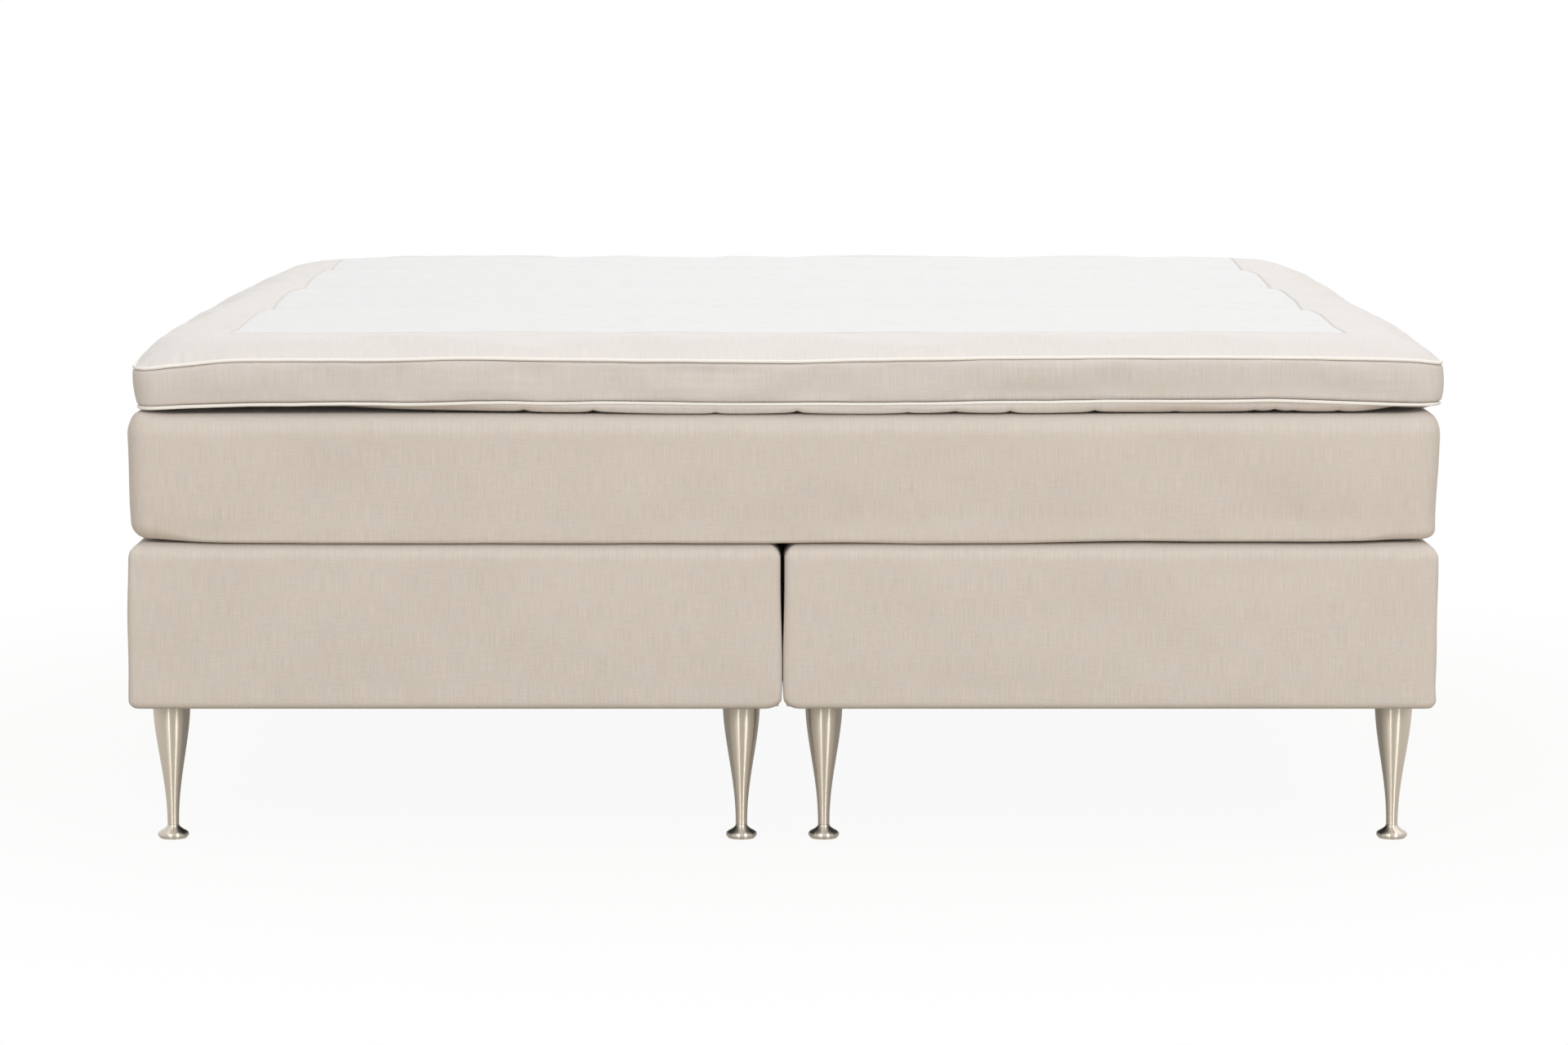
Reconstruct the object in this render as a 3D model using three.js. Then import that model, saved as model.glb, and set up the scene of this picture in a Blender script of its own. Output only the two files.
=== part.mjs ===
// Box spring bed: two upholstered spring bases on turned steel legs, one full-width pocket
// spring mattress on both, and a piped topper with a white centre panel.
// Millimetres, +Z up. X runs across the bed and Y along it, the foot end is at -Y, and the
// origin is on the floor under the middle of the bed.

import * as THREE from 'three';

// Clearance between pieces that touch
const GAP = 0.3;

// The bed that the bases carry: a double bed's standard width and length
const BED_WIDTH = 1800;
const BED_LENGTH = 2000;

// The two bases, side by side
const BASE_HEIGHT = 230;
const BASE_SEAM = 3;
const BASE_CORNER = 10;
const BASE_TOP_ROUND = 22;
const BASE_BOTTOM_ROUND = 10;
const BASE_LEAN = 1.5;
const BASE_COVER_THICKNESS = 5;
const BASE_HEM = 18;
const DUST_COVER_THICKNESS = 2;

// Timber frame, springs and padding of a base
const RAIL_THICKNESS = 22;
const BLOCK_SIZE = 84;
const BLOCK_HEIGHT = 38;
const SLAT_WIDTH = 72;
const SLAT_THICKNESS = 18;
const SLAT_COUNT = 8;
const SPRING_PITCH = 88;
const SPRING_SCALLOP = 12;
const SPRING_FELT_THICKNESS = 4;
const FOAM_PAD_THICKNESS = 30;

// Legs, each with a stud above and a flared foot below
const FLOOR_CLEARANCE = 190;
const LEG_RADIUS = 26;
const LEG_NECK_RADIUS = 8;
const OUTER_LEG_INSET = 50;
const INNER_LEG_INSET = 56;
const END_LEG_INSET = 62;
const STUD_RADIUS = 4;
const STUD_LENGTH = 30;
const FOOT_RADIUS = 21.5;
const FOOT_HEIGHT = 18.7;
const STEM_RADIUS = 4;
const STEM_LENGTH = 22;

// Plates that join the two bases from below
const PLATE_LENGTH = 70;
const PLATE_WIDTH = 50;
const PLATE_THICKNESS = 3;
const PLATE_HOLE_RADIUS = 3;
const PLATE_HOLE_INSET = 14;
const PLATE_SETBACK = 320;

// Mattress
const MATTRESS_HEIGHT = 181.7;
const MATTRESS_CORNER = 30;
const MATTRESS_TOP_ROUND = 20;
const MATTRESS_BOTTOM_ROUND = 28;
const MATTRESS_TAPER = 4;
const MATTRESS_COVER_THICKNESS = 5;
const MATTRESS_HEM = 60;
const PAD_BEYOND_ROUND = 6;
const EDGE_FRAME_WIDTH = 60;
const POCKET_PITCH = 75;
const POCKET_SCALLOP = 9;

// Topper: heights are measured from its underside, and insets from its upper seam
const TOPPER_SIDE_EASE = 1;
const TOPPER_END_EASE = 4;
const TOPPER_SHIFT = 7;
const TOPPER_CORNER = 32;
const UPPER_SEAM = 74;
const LOWER_SEAM = 13.5;
const TOPPER_CROWN = 28;
const CROWN_WIDTH = 140;
const TOPPER_FABRIC = 3;
const BELLY_WIDTH = 48;
const BAND_DRAW_IN = 7;
const BAND_BULGE = 4;
const PIPING_RADIUS = 2.6;
const PIPING_INSET = 1;
const PANEL_BORDER = 124;
const CORNER_DROOP = 7;
const SEAM_WAVE = 3;
const SEAM_WAVE_LENGTH = 950;
const SEAM_WAVE_START = 20;
const PUFF_PITCH = 478;
const PUFF_SETBACK = 201;
const PUFF_DEPTH = 8;

// Widths and lengths that follow from the bed's
const BASE_WIDTH = BED_WIDTH / 2;
const TOPPER_WIDTH = BED_WIDTH - 2 * TOPPER_SIDE_EASE;
const TOPPER_LENGTH = BED_LENGTH - 2 * TOPPER_END_EASE;

// Heights above the floor
const BASE_TOP = FLOOR_CLEARANCE + BASE_HEIGHT;
const FRAME_BOTTOM = FLOOR_CLEARANCE + BASE_COVER_THICKNESS + GAP;
const PAD_TOP = BASE_TOP - BASE_COVER_THICKNESS - GAP;
const PAD_BOTTOM = PAD_TOP - FOAM_PAD_THICKNESS;
const LEG_TOP = FRAME_BOTTOM - GAP - DUST_COVER_THICKNESS - GAP;
const MATTRESS_BOTTOM = BASE_TOP + GAP;
const MATTRESS_TOP = MATTRESS_BOTTOM + MATTRESS_HEIGHT;
const TOPPER_BOTTOM = MATTRESS_TOP + GAP;
const UPPER_SEAM_HEIGHT = TOPPER_BOTTOM + UPPER_SEAM;
const LOWER_SEAM_HEIGHT = TOPPER_BOTTOM + LOWER_SEAM;

// Step counts across and along an outline and round its corners, and round a section
const BASE_STEPS = { across: 3, along: 4, corner: 2 };
const MATTRESS_STEPS = { across: 6, along: 6, corner: 3 };
const TOPPER_STEPS = { across: 14, along: 16, corner: 2 };
const CORE_STEPS = { across: 1, along: 1, corner: 2 };
const ROUND_STEPS = 3;
const TURNED_SIDES = 12;
const LEG_RINGS = 7;
const PIPING_SIDES = 6;

// Powers and shares that give the soft outlines their forms
const corner_radius_share = 0.2;
const topper_corner_share = 0.03;
const CORNER_POWER = 8;
const CROWN_POWER = 3.2;
const BELLY_POWER = 3;
const PUFF_POWER = 0.7;
const LEG_POWER = 1.1;
const lower_wave_share = 0.6;
const core_shoulder_shares = [0.43, 0.72];
const border_inset_shares = [0, 0.1, 0.3, 0.62, 1];
const belly_inset_shares = [0, 0.18, 0.5, 1];
const band_outer_shares = [0, 0.33, 0.7, 1];
const foot_profile_shares = [
  [0.86, 0], [0.96, 0.14], [1, 0.29], [0.95, 0.44], [0.78, 0.57], [0.6, 0.7], [0.45, 0.84], [0.372, 1],
];

const bed = new THREE.Group();

// Finishes
function finish(color, roughness, metalness = 0) {
  return () => new THREE.MeshStandardMaterial({ color, roughness, metalness });
}

const beigeFabric = finish(0xcfc5b8, 0.95);
const topFabric = finish(0xece6e1, 0.95);
const whiteFabric = finish(0xf0f0ee, 0.9);
const creamPiping = finish(0xf0eae0, 0.85);
const pine = finish(0xd8b98a, 0.7);
const foam = finish(0xe9e2c8, 0.95);
const greyFelt = finish(0x9a9893, 1);
const darkCloth = finish(0x3c3a38, 1);
const springCloth = finish(0xdcdcd6, 0.8);
const satinSteel = finish(0xb9b2a6, 0.32, 1);
const platedSteel = finish(0xa8a8a6, 0.4, 1);

function addPiece(parent, name, geometry, makeMaterial, x = 0, y = 0, z = 0) {
  const mesh = new THREE.Mesh(geometry, makeMaterial());
  mesh.name = name;
  mesh.position.set(x, y, z);
  parent.add(mesh);
}

function mix(from, to, share) {
  return from + (to - from) * share;
}

// Plan of a soft piece: a rectangle whose rounded corners shrink as the outline is drawn in
function makePlan(width, length, corner, steps, cornerShare = corner_radius_share) {
  return { halfWidth: width / 2, halfLength: length / 2, corner, steps, cornerShare };
}

function cornerRadius(plan, inset) {
  return Math.max(plan.corner - inset, plan.corner * plan.cornerShare);
}

// The inset at which a square corner clears the plan's rounded corner at the given inset
function squareInset(plan, inset) {
  return inset + cornerRadius(plan, inset) * (1 - Math.SQRT1_2) + GAP;
}

// Points round the plan, anticlockwise from its front right corner
function outline(plan, inset) {
  const { steps } = plan;
  const radius = cornerRadius(plan, inset);
  const centreX = plan.halfWidth - inset - radius;
  const centreY = plan.halfLength - inset - radius;
  const corners = [[1, -1], [1, 1], [-1, 1], [-1, -1]];
  const points = [];
  corners.forEach(([sideX, sideY], corner) => {
    for (let step = 0; step <= steps.corner; step += 1) {
      const angle = (corner - 1 + step / steps.corner) * (Math.PI / 2);
      points.push([sideX * centreX + radius * Math.cos(angle), sideY * centreY + radius * Math.sin(angle)]);
    }
    const [endX, endY] = points[points.length - 1];
    const alongLength = corner % 2 === 0;
    const count = alongLength ? steps.along : steps.across;
    for (let step = 1; step < count; step += 1) {
      const turn = 1 - 2 * (step / count);
      points.push(alongLength ? [endX, endY * turn] : [endX * turn, endY]);
    }
  });
  return points;
}

// One loop of a skin, at a height or on a surface that gives the height at x, y and inset
function loop(plan, inset, height) {
  const heightAt = typeof height === 'function' ? height : () => height;
  return outline(plan, inset).map(([x, y]) => new THREE.Vector3(x, y, heightAt(x, y, inset)));
}

function meshOf(points, triangles) {
  const geometry = new THREE.BufferGeometry();
  geometry.setFromPoints(points);
  geometry.setIndex(triangles);
  geometry.computeVertexNormals();
  return geometry;
}

// Pairs of triangles that join each loop to the next, and the last to the first on a ring
function loopTriangles(loops, isRing) {
  const count = loops[0].length;
  const rows = isRing ? loops.length : loops.length - 1;
  const triangles = [];
  for (let row = 0; row < rows; row += 1) {
    const here = row * count;
    const next = ((row + 1) % loops.length) * count;
    for (let k = 0; k < count; k += 1) {
      const after = (k + 1) % count;
      triangles.push(here + k, here + after, next + after);
      triangles.push(here + k, next + after, next + k);
    }
  }
  return triangles;
}

// A band or frame that runs right round: its section goes down inside and up outside
function ringGeometry(loops) {
  return meshOf(loops.flat(), loopTriangles(loops, true));
}

// A skin closed in the middle of its first loop, which faces down, and of its last
function closedGeometry(loops, firstMiddle, lastMiddle) {
  const points = loops.flat();
  const triangles = loopTriangles(loops, false);
  const count = loops[0].length;
  const lastLoop = points.length - count;
  const first = points.length;
  const last = first + 1;
  points.push(new THREE.Vector3(0, 0, firstMiddle), new THREE.Vector3(0, 0, lastMiddle));
  for (let k = 0; k < count; k += 1) {
    const after = (k + 1) % count;
    triangles.push(first, after, k);
    triangles.push(last, lastLoop + k, lastLoop + after);
  }
  return meshOf(points, triangles);
}

// A pad with the plan's outline, from pairs of inset and height going up
function pad(plan, profile) {
  const loops = profile.map(([inset, height]) => loop(plan, inset, height));
  return closedGeometry(loops, profile[0][1], profile[profile.length - 1][1]);
}

// Pairs of inset and height round a quarter circle
function quarterRound(centreInset, centreHeight, radius, startAngle) {
  const points = [];
  for (let step = 0; step <= ROUND_STEPS; step += 1) {
    const angle = startAngle + (step / ROUND_STEPS) * (Math.PI / 2);
    points.push([centreInset - radius * Math.cos(angle), centreHeight + radius * Math.sin(angle)]);
  }
  return points;
}

// A cover's outer section: under its hem, round its bottom edge, up its wall and over its top
function coverOutside({ bottom, top, bottomRound, topRound, lowerInset, upperInset, hem }) {
  return [
    [hem, bottom],
    ...quarterRound(lowerInset + bottomRound, bottom + bottomRound, bottomRound, -Math.PI / 2),
    ...quarterRound(upperInset + topRound, top - topRound, topRound, 0),
  ];
}

// A cover that is closed over its top and open below, inside its hem
function coverGeometry(plan, inside, cover) {
  const loops = [...inside, ...coverOutside(cover)].map(([inset, height]) => loop(plan, inset, height));
  return closedGeometry(loops, cover.top - cover.thickness, cover.top);
}

function rectangle(width, length) {
  const x = width / 2;
  const y = length / 2;
  return [[-x, -y], [x, -y], [x, y], [-x, y]];
}

// A flat piece with round holes, its underside at zero
function flatPiece(points, thickness, holes = []) {
  const shape = new THREE.Shape(points.map(([x, y]) => new THREE.Vector2(x, y)));
  holes.forEach(({ x, y, radius }) => {
    const hole = new THREE.Path();
    hole.absarc(x, y, radius, 0, Math.PI * 2, true);
    shape.holes.push(hole);
  });
  return new THREE.ExtrudeGeometry(shape, {
    depth: thickness,
    bevelEnabled: false,
    curveSegments: TURNED_SIDES / 2,
  });
}

// A turned piece, from pairs of radius and height going up from the axis to the axis
function turned(profile) {
  const points = profile.map(([radius, height]) => new THREE.Vector2(radius, height));
  return new THREE.LatheGeometry(points, TURNED_SIDES).rotateX(Math.PI / 2);
}

// A block of springs, drawn in between the springs along each edge
function springBlock(width, length, height, pitch, scallop) {
  const across = Math.round(width / pitch);
  const along = Math.round(length / pitch);
  const corners = rectangle(width, length);
  const points = [];
  corners.forEach(([fromX, fromY], side) => {
    const [toX, toY] = corners[(side + 1) % corners.length];
    const isEnd = side % 2 === 0;
    const count = 2 * (isEnd ? across : along);
    for (let step = 0; step < count; step += 1) {
      const drawn = step > 0 && step % 2 === 0 ? scallop : 0;
      const x = mix(fromX, toX, step / count) - (isEnd ? 0 : Math.sign(fromX) * drawn);
      const y = mix(fromY, toY, step / count) - (isEnd ? Math.sign(fromY) * drawn : 0);
      points.push([x, y]);
    }
  });
  return flatPiece(points, height);
}

// Cross slats on a long centre batten, cut as one outline
function slatDeck(width, length) {
  const pitch = (length - SLAT_WIDTH) / (SLAT_COUNT - 1);
  const right = [];
  for (let slat = 0; slat < SLAT_COUNT; slat += 1) {
    const front = -length / 2 + slat * pitch;
    const back = front + SLAT_WIDTH;
    right.push([SLAT_WIDTH / 2, front], [width / 2, front], [width / 2, back], [SLAT_WIDTH / 2, back]);
  }
  const outer = right.slice(1, -1);
  const left = outer.map(([x, y]) => [-x, y]).reverse();
  return flatPiece([...outer, ...left], SLAT_THICKNESS);
}

// Leg: a bore for the foot's stem, a neck that swells to the top, and a threaded stud
function legGeometry() {
  const bottom = FOOT_HEIGHT + GAP;
  const boreRadius = STEM_RADIUS + GAP;
  const boreTop = FOOT_HEIGHT + STEM_LENGTH + GAP;
  const profile = [[0, boreTop], [boreRadius, boreTop], [boreRadius, bottom]];
  for (let ring = 0; ring <= LEG_RINGS; ring += 1) {
    const height = ring / LEG_RINGS;
    const swell = THREE.MathUtils.smoothstep(height ** LEG_POWER, 0, 1);
    profile.push([mix(LEG_NECK_RADIUS, LEG_RADIUS, swell), mix(bottom, LEG_TOP, height)]);
  }
  const studTop = LEG_TOP + STUD_LENGTH;
  profile.push([STUD_RADIUS, LEG_TOP], [STUD_RADIUS, studTop], [0, studTop]);
  return turned(profile);
}

// Foot: a flat contact face, a rounded rim, a flare and the stem that enters the leg
function footGeometry() {
  const flare = foot_profile_shares.map(([radius, height]) => [radius * FOOT_RADIUS, height * FOOT_HEIGHT]);
  const stemTop = FOOT_HEIGHT + STEM_LENGTH;
  return turned([[0, 0], ...flare, [STEM_RADIUS, FOOT_HEIGHT], [STEM_RADIUS, stemTop], [0, stemTop]]);
}

const basePlan = makePlan(BASE_WIDTH, BED_LENGTH, BASE_CORNER, BASE_STEPS);
const legSpots = [
  { corner: 'front_outer', sideInset: OUTER_LEG_INSET, towards: 1, end: -1 },
  { corner: 'front_inner', sideInset: INNER_LEG_INSET, towards: -1, end: -1 },
  { corner: 'rear_outer', sideInset: OUTER_LEG_INSET, towards: 1, end: 1 },
  { corner: 'rear_inner', sideInset: INNER_LEG_INSET, towards: -1, end: 1 },
];

// One base, built round its own middle; outward is the side away from the other base
function addBase(side, outward) {
  const base = new THREE.Group();
  base.position.x = (outward * (BASE_WIDTH + BASE_SEAM)) / 2;
  bed.add(base);

  const railInset = squareInset(basePlan, BASE_COVER_THICKNESS + BASE_LEAN);
  const insideInset = railInset + RAIL_THICKNESS + GAP;
  const insideWidth = BASE_WIDTH - 2 * insideInset;
  const insideLength = BED_LENGTH - 2 * insideInset;
  const railHeight = PAD_BOTTOM - GAP - FRAME_BOTTOM;
  const railMiddle = FRAME_BOTTOM + railHeight / 2;
  const sideRailX = BASE_WIDTH / 2 - railInset - RAIL_THICKNESS / 2;
  const endRailY = BED_LENGTH / 2 - railInset - RAIL_THICKNESS / 2;
  const sideRail = () => new THREE.BoxGeometry(RAIL_THICKNESS, BED_LENGTH - 2 * railInset, railHeight);
  const endRail = () => new THREE.BoxGeometry(insideWidth, RAIL_THICKNESS, railHeight);
  addPiece(base, `${side}_side_rail_outer`, sideRail(), pine, outward * sideRailX, 0, railMiddle);
  addPiece(base, `${side}_side_rail_inner`, sideRail(), pine, -outward * sideRailX, 0, railMiddle);
  addPiece(base, `${side}_end_rail_front`, endRail(), pine, 0, -endRailY, railMiddle);
  addPiece(base, `${side}_end_rail_rear`, endRail(), pine, 0, endRailY, railMiddle);

  const deckBottom = FRAME_BOTTOM + BLOCK_HEIGHT + GAP;
  const springBottom = deckBottom + SLAT_THICKNESS + GAP;
  const feltBottom = PAD_BOTTOM - GAP - SPRING_FELT_THICKNESS;
  const springHeight = feltBottom - GAP - springBottom;
  const springs = springBlock(insideWidth, insideLength, springHeight, SPRING_PITCH, SPRING_SCALLOP);
  const springFelt = flatPiece(rectangle(insideWidth, insideLength), SPRING_FELT_THICKNESS);
  addPiece(base, `${side}_slat_deck`, slatDeck(insideWidth, insideLength), pine, 0, 0, deckBottom);
  addPiece(base, `${side}_spring_unit`, springs, springCloth, 0, 0, springBottom);
  addPiece(base, `${side}_spring_felt`, springFelt, greyFelt, 0, 0, feltBottom);

  const padInset = BASE_COVER_THICKNESS + BASE_LEAN + GAP;
  const padGeometry = pad(basePlan, [
    [padInset, PAD_BOTTOM],
    [padInset, BASE_TOP - BASE_TOP_ROUND - GAP],
    [BASE_TOP_ROUND + BASE_LEAN + GAP, PAD_TOP],
  ]);
  addPiece(base, `${side}_foam_pad`, padGeometry, foam);

  const coverInside = [
    [BASE_TOP_ROUND + BASE_LEAN, BASE_TOP - BASE_COVER_THICKNESS],
    [BASE_COVER_THICKNESS + BASE_LEAN, BASE_TOP - BASE_TOP_ROUND],
    [BASE_COVER_THICKNESS, FLOOR_CLEARANCE + BASE_COVER_THICKNESS],
    [BASE_HEM, FLOOR_CLEARANCE + BASE_COVER_THICKNESS],
  ];
  const cover = {
    bottom: FLOOR_CLEARANCE,
    top: BASE_TOP,
    bottomRound: BASE_BOTTOM_ROUND,
    topRound: BASE_TOP_ROUND,
    lowerInset: 0,
    upperInset: BASE_LEAN,
    hem: BASE_HEM,
    thickness: BASE_COVER_THICKNESS,
  };
  addPiece(base, `${side}_cover`, coverGeometry(basePlan, coverInside, cover), beigeFabric);

  const studHoles = [];
  legSpots.forEach(({ corner, sideInset, towards, end }) => {
    const toSide = outward * towards;
    const legX = toSide * (BASE_WIDTH / 2 - sideInset);
    const legY = end * (BED_LENGTH / 2 - END_LEG_INSET);
    const blockX = toSide * (BASE_WIDTH / 2 - insideInset - BLOCK_SIZE / 2);
    const blockY = end * (BED_LENGTH / 2 - insideInset - BLOCK_SIZE / 2);
    const holeRadius = STUD_RADIUS + GAP;
    const blockHole = { x: legX - blockX, y: legY - blockY, radius: holeRadius };
    const blockGeometry = flatPiece(rectangle(BLOCK_SIZE, BLOCK_SIZE), BLOCK_HEIGHT, [blockHole]);
    studHoles.push({ x: legX, y: legY, radius: holeRadius });
    addPiece(base, `${side}_corner_block_${corner}`, blockGeometry, pine, blockX, blockY, FRAME_BOTTOM);
    addPiece(base, `${side}_leg_${corner}`, legGeometry(), satinSteel, legX, legY);
    addPiece(base, `${side}_foot_${corner}`, footGeometry(), satinSteel, legX, legY);
  });

  const dustInset = squareInset(basePlan, BASE_HEM);
  const dustPoints = rectangle(BASE_WIDTH - 2 * dustInset, BED_LENGTH - 2 * dustInset);
  const dustBottom = LEG_TOP + GAP;
  const dustGeometry = flatPiece(dustPoints, DUST_COVER_THICKNESS, studHoles);
  addPiece(base, `${side}_dust_cover`, dustGeometry, darkCloth, 0, 0, dustBottom);
}

// Flat plates across the seam, under the inner rails
function addJoiningPlates() {
  const holeX = PLATE_LENGTH / 2 - PLATE_HOLE_INSET;
  const holeY = PLATE_WIDTH / 2 - PLATE_HOLE_INSET;
  const holes = rectangle(2 * holeX, 2 * holeY).map(([x, y]) => ({ x, y, radius: PLATE_HOLE_RADIUS }));
  const bottom = FLOOR_CLEARANCE - GAP - PLATE_THICKNESS;
  [['front', -1], ['rear', 1]].forEach(([end, sign]) => {
    const geometry = flatPiece(rectangle(PLATE_LENGTH, PLATE_WIDTH), PLATE_THICKNESS, holes);
    const y = sign * (BED_LENGTH / 2 - PLATE_SETBACK);
    addPiece(bed, `${end}_joining_plate`, geometry, platedSteel, 0, y, bottom);
  });
}

// Mattress: pocket springs in a foam frame, between two foam pads, in a fabric cover
function addMattress() {
  const plan = makePlan(BED_WIDTH, BED_LENGTH, MATTRESS_CORNER, MATTRESS_STEPS);
  const corePlan = { ...plan, steps: { ...MATTRESS_STEPS, across: 1, along: 1 } };
  const thickness = MATTRESS_COVER_THICKNESS;
  const lowerWall = MATTRESS_TAPER + thickness;
  const lowerRound = MATTRESS_TAPER + MATTRESS_BOTTOM_ROUND;
  const upperRoundStart = MATTRESS_TOP - MATTRESS_TOP_ROUND;
  const lowerRoundEnd = MATTRESS_BOTTOM + MATTRESS_BOTTOM_ROUND;
  const coverInside = [
    [MATTRESS_TOP_ROUND, MATTRESS_TOP - thickness],
    [thickness, upperRoundStart],
    [lowerWall, lowerRoundEnd],
    [lowerRound, MATTRESS_BOTTOM + thickness],
    [MATTRESS_HEM, MATTRESS_BOTTOM + thickness],
  ];
  const cover = {
    bottom: MATTRESS_BOTTOM,
    top: MATTRESS_TOP,
    bottomRound: MATTRESS_BOTTOM_ROUND,
    topRound: MATTRESS_TOP_ROUND,
    lowerInset: MATTRESS_TAPER,
    upperInset: 0,
    hem: MATTRESS_HEM,
    thickness,
  };
  addPiece(bed, 'mattress_cover', coverGeometry(plan, coverInside, cover), beigeFabric);

  const undersideInset = squareInset(plan, MATTRESS_HEM);
  const underside = rectangle(BED_WIDTH - 2 * undersideInset, BED_LENGTH - 2 * undersideInset);
  addPiece(bed, 'mattress_underside', flatPiece(underside, thickness), darkCloth, 0, 0, MATTRESS_BOTTOM);

  const lowerPadTop = lowerRoundEnd + PAD_BEYOND_ROUND;
  const upperPadBottom = upperRoundStart - PAD_BEYOND_ROUND;
  const lowerPad = pad(corePlan, [
    [lowerRound + GAP, MATTRESS_BOTTOM + thickness + GAP],
    [lowerWall + GAP, lowerRoundEnd + GAP],
    [lowerWall + GAP, lowerPadTop],
  ]);
  const upperPad = pad(corePlan, [
    [thickness + 2 * GAP, upperPadBottom],
    [thickness + GAP, upperRoundStart - GAP],
    [MATTRESS_TOP_ROUND + GAP, MATTRESS_TOP - thickness - GAP],
  ]);
  addPiece(bed, 'mattress_lower_pad', lowerPad, foam);
  addPiece(bed, 'mattress_upper_pad', upperPad, foam);

  const coreBottom = lowerPadTop + GAP;
  const coreTop = upperPadBottom - GAP;
  const frameInside = lowerWall + EDGE_FRAME_WIDTH;
  const frame = ringGeometry([
    loop(corePlan, frameInside, coreTop),
    loop(corePlan, frameInside, coreBottom),
    loop(corePlan, lowerWall + GAP, coreBottom),
    loop(corePlan, thickness + 3 * GAP, coreTop),
  ]);
  const springInset = squareInset(plan, frameInside);
  const springs = springBlock(
    BED_WIDTH - 2 * springInset,
    BED_LENGTH - 2 * springInset,
    coreTop - coreBottom,
    POCKET_PITCH,
    POCKET_SCALLOP,
  );
  addPiece(bed, 'mattress_edge_frame', frame, foam);
  addPiece(bed, 'mattress_pocket_springs', springs, springCloth, 0, 0, coreBottom);
}

const topperPlan = makePlan(TOPPER_WIDTH, TOPPER_LENGTH, TOPPER_CORNER, TOPPER_STEPS, topper_corner_share);

// Height that the topper's seams lose at its corners and gain or lose along its sides
function seamRise(x, y, waveShare) {
  const towardsSide = (Math.abs(x) / topperPlan.halfWidth) ** CORNER_POWER;
  const towardsEnd = (Math.abs(y) / topperPlan.halfLength) ** CORNER_POWER;
  const waveX = Math.cos(((x - SEAM_WAVE_START) / SEAM_WAVE_LENGTH) * 2 * Math.PI);
  const waveY = Math.cos(((y - SEAM_WAVE_START) / SEAM_WAVE_LENGTH) * 2 * Math.PI);
  const wave = SEAM_WAVE * waveShare * (waveX * towardsEnd + waveY * towardsSide);
  return -wave - CORNER_DROOP * towardsSide * towardsEnd;
}

function upperSeam(x, y) {
  return UPPER_SEAM_HEIGHT + seamRise(x, y, 1);
}

function lowerSeam(x, y) {
  return LOWER_SEAM_HEIGHT + seamRise(x, y, lower_wave_share);
}

// The topper's upper face: it rises from the seam to a level crown with cross channels
function topFace(x, y, inset) {
  const inward = Math.min(inset / CROWN_WIDTH, 1);
  const edge = mix(upperSeam(x, y), UPPER_SEAM_HEIGHT, inward);
  const crown = TOPPER_CROWN * (1 - (1 - inward) ** CROWN_POWER);
  const pastChannel = y + topperPlan.halfLength - PUFF_SETBACK;
  const puff = Math.abs(Math.sin((pastChannel / PUFF_PITCH) * Math.PI)) ** PUFF_POWER;
  return edge + crown - PUFF_DEPTH * (1 - puff) * inward ** 2;
}

// The topper's lower face: it falls from the seam to where it rests on the mattress
function bellyFace(x, y, inset) {
  const outerEdge = BAND_DRAW_IN + PIPING_INSET + PIPING_RADIUS + GAP;
  const inward = Math.min(Math.max((inset - outerEdge) / BELLY_WIDTH, 0), 1);
  const seam = lowerSeam(x, y) - TOPPER_FABRIC / 2;
  return mix(TOPPER_BOTTOM, seam, (1 - inward) ** BELLY_POWER);
}

// Piping: a cord that follows a seam right round
function pipingGeometry(inset, seam) {
  const loops = [];
  for (let step = 0; step < PIPING_SIDES; step += 1) {
    const angle = (step / PIPING_SIDES) * 2 * Math.PI;
    const drop = PIPING_RADIUS * Math.sin(angle);
    loops.push(loop(topperPlan, inset + PIPING_RADIUS * Math.cos(angle), (x, y) => seam(x, y) - drop));
  }
  return ringGeometry(loops);
}

// Side band: fabric between the two pipings, bulging a little and drawn in towards the bottom
function bandGeometry() {
  const clear = PIPING_RADIUS + GAP;
  const section = (share, extraInset) => {
    const bulge = BAND_BULGE * Math.sin(share * Math.PI);
    const height = (x, y) => mix(lowerSeam(x, y) + clear, upperSeam(x, y) - clear, share);
    return loop(topperPlan, extraInset + BAND_DRAW_IN * (1 - share) - bulge, height);
  };
  const inside = [1, 0.5, 0].map((share) => section(share, TOPPER_FABRIC));
  const outside = band_outer_shares.map((share) => section(share, 0));
  return ringGeometry([...inside, ...outside]);
}

// Top border: fabric from the upper piping in to the centre panel
function borderGeometry() {
  const outerEdge = PIPING_INSET + PIPING_RADIUS + GAP;
  const underside = (x, y, inset) => topFace(x, y, inset) - TOPPER_FABRIC;
  const insets = border_inset_shares.map((share) => mix(outerEdge, PANEL_BORDER, share));
  const above = insets.map((inset) => loop(topperPlan, inset, topFace));
  const below = [PANEL_BORDER, insets[2], outerEdge].map((inset) => loop(topperPlan, inset, underside));
  return ringGeometry([...below, ...above]);
}

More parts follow.
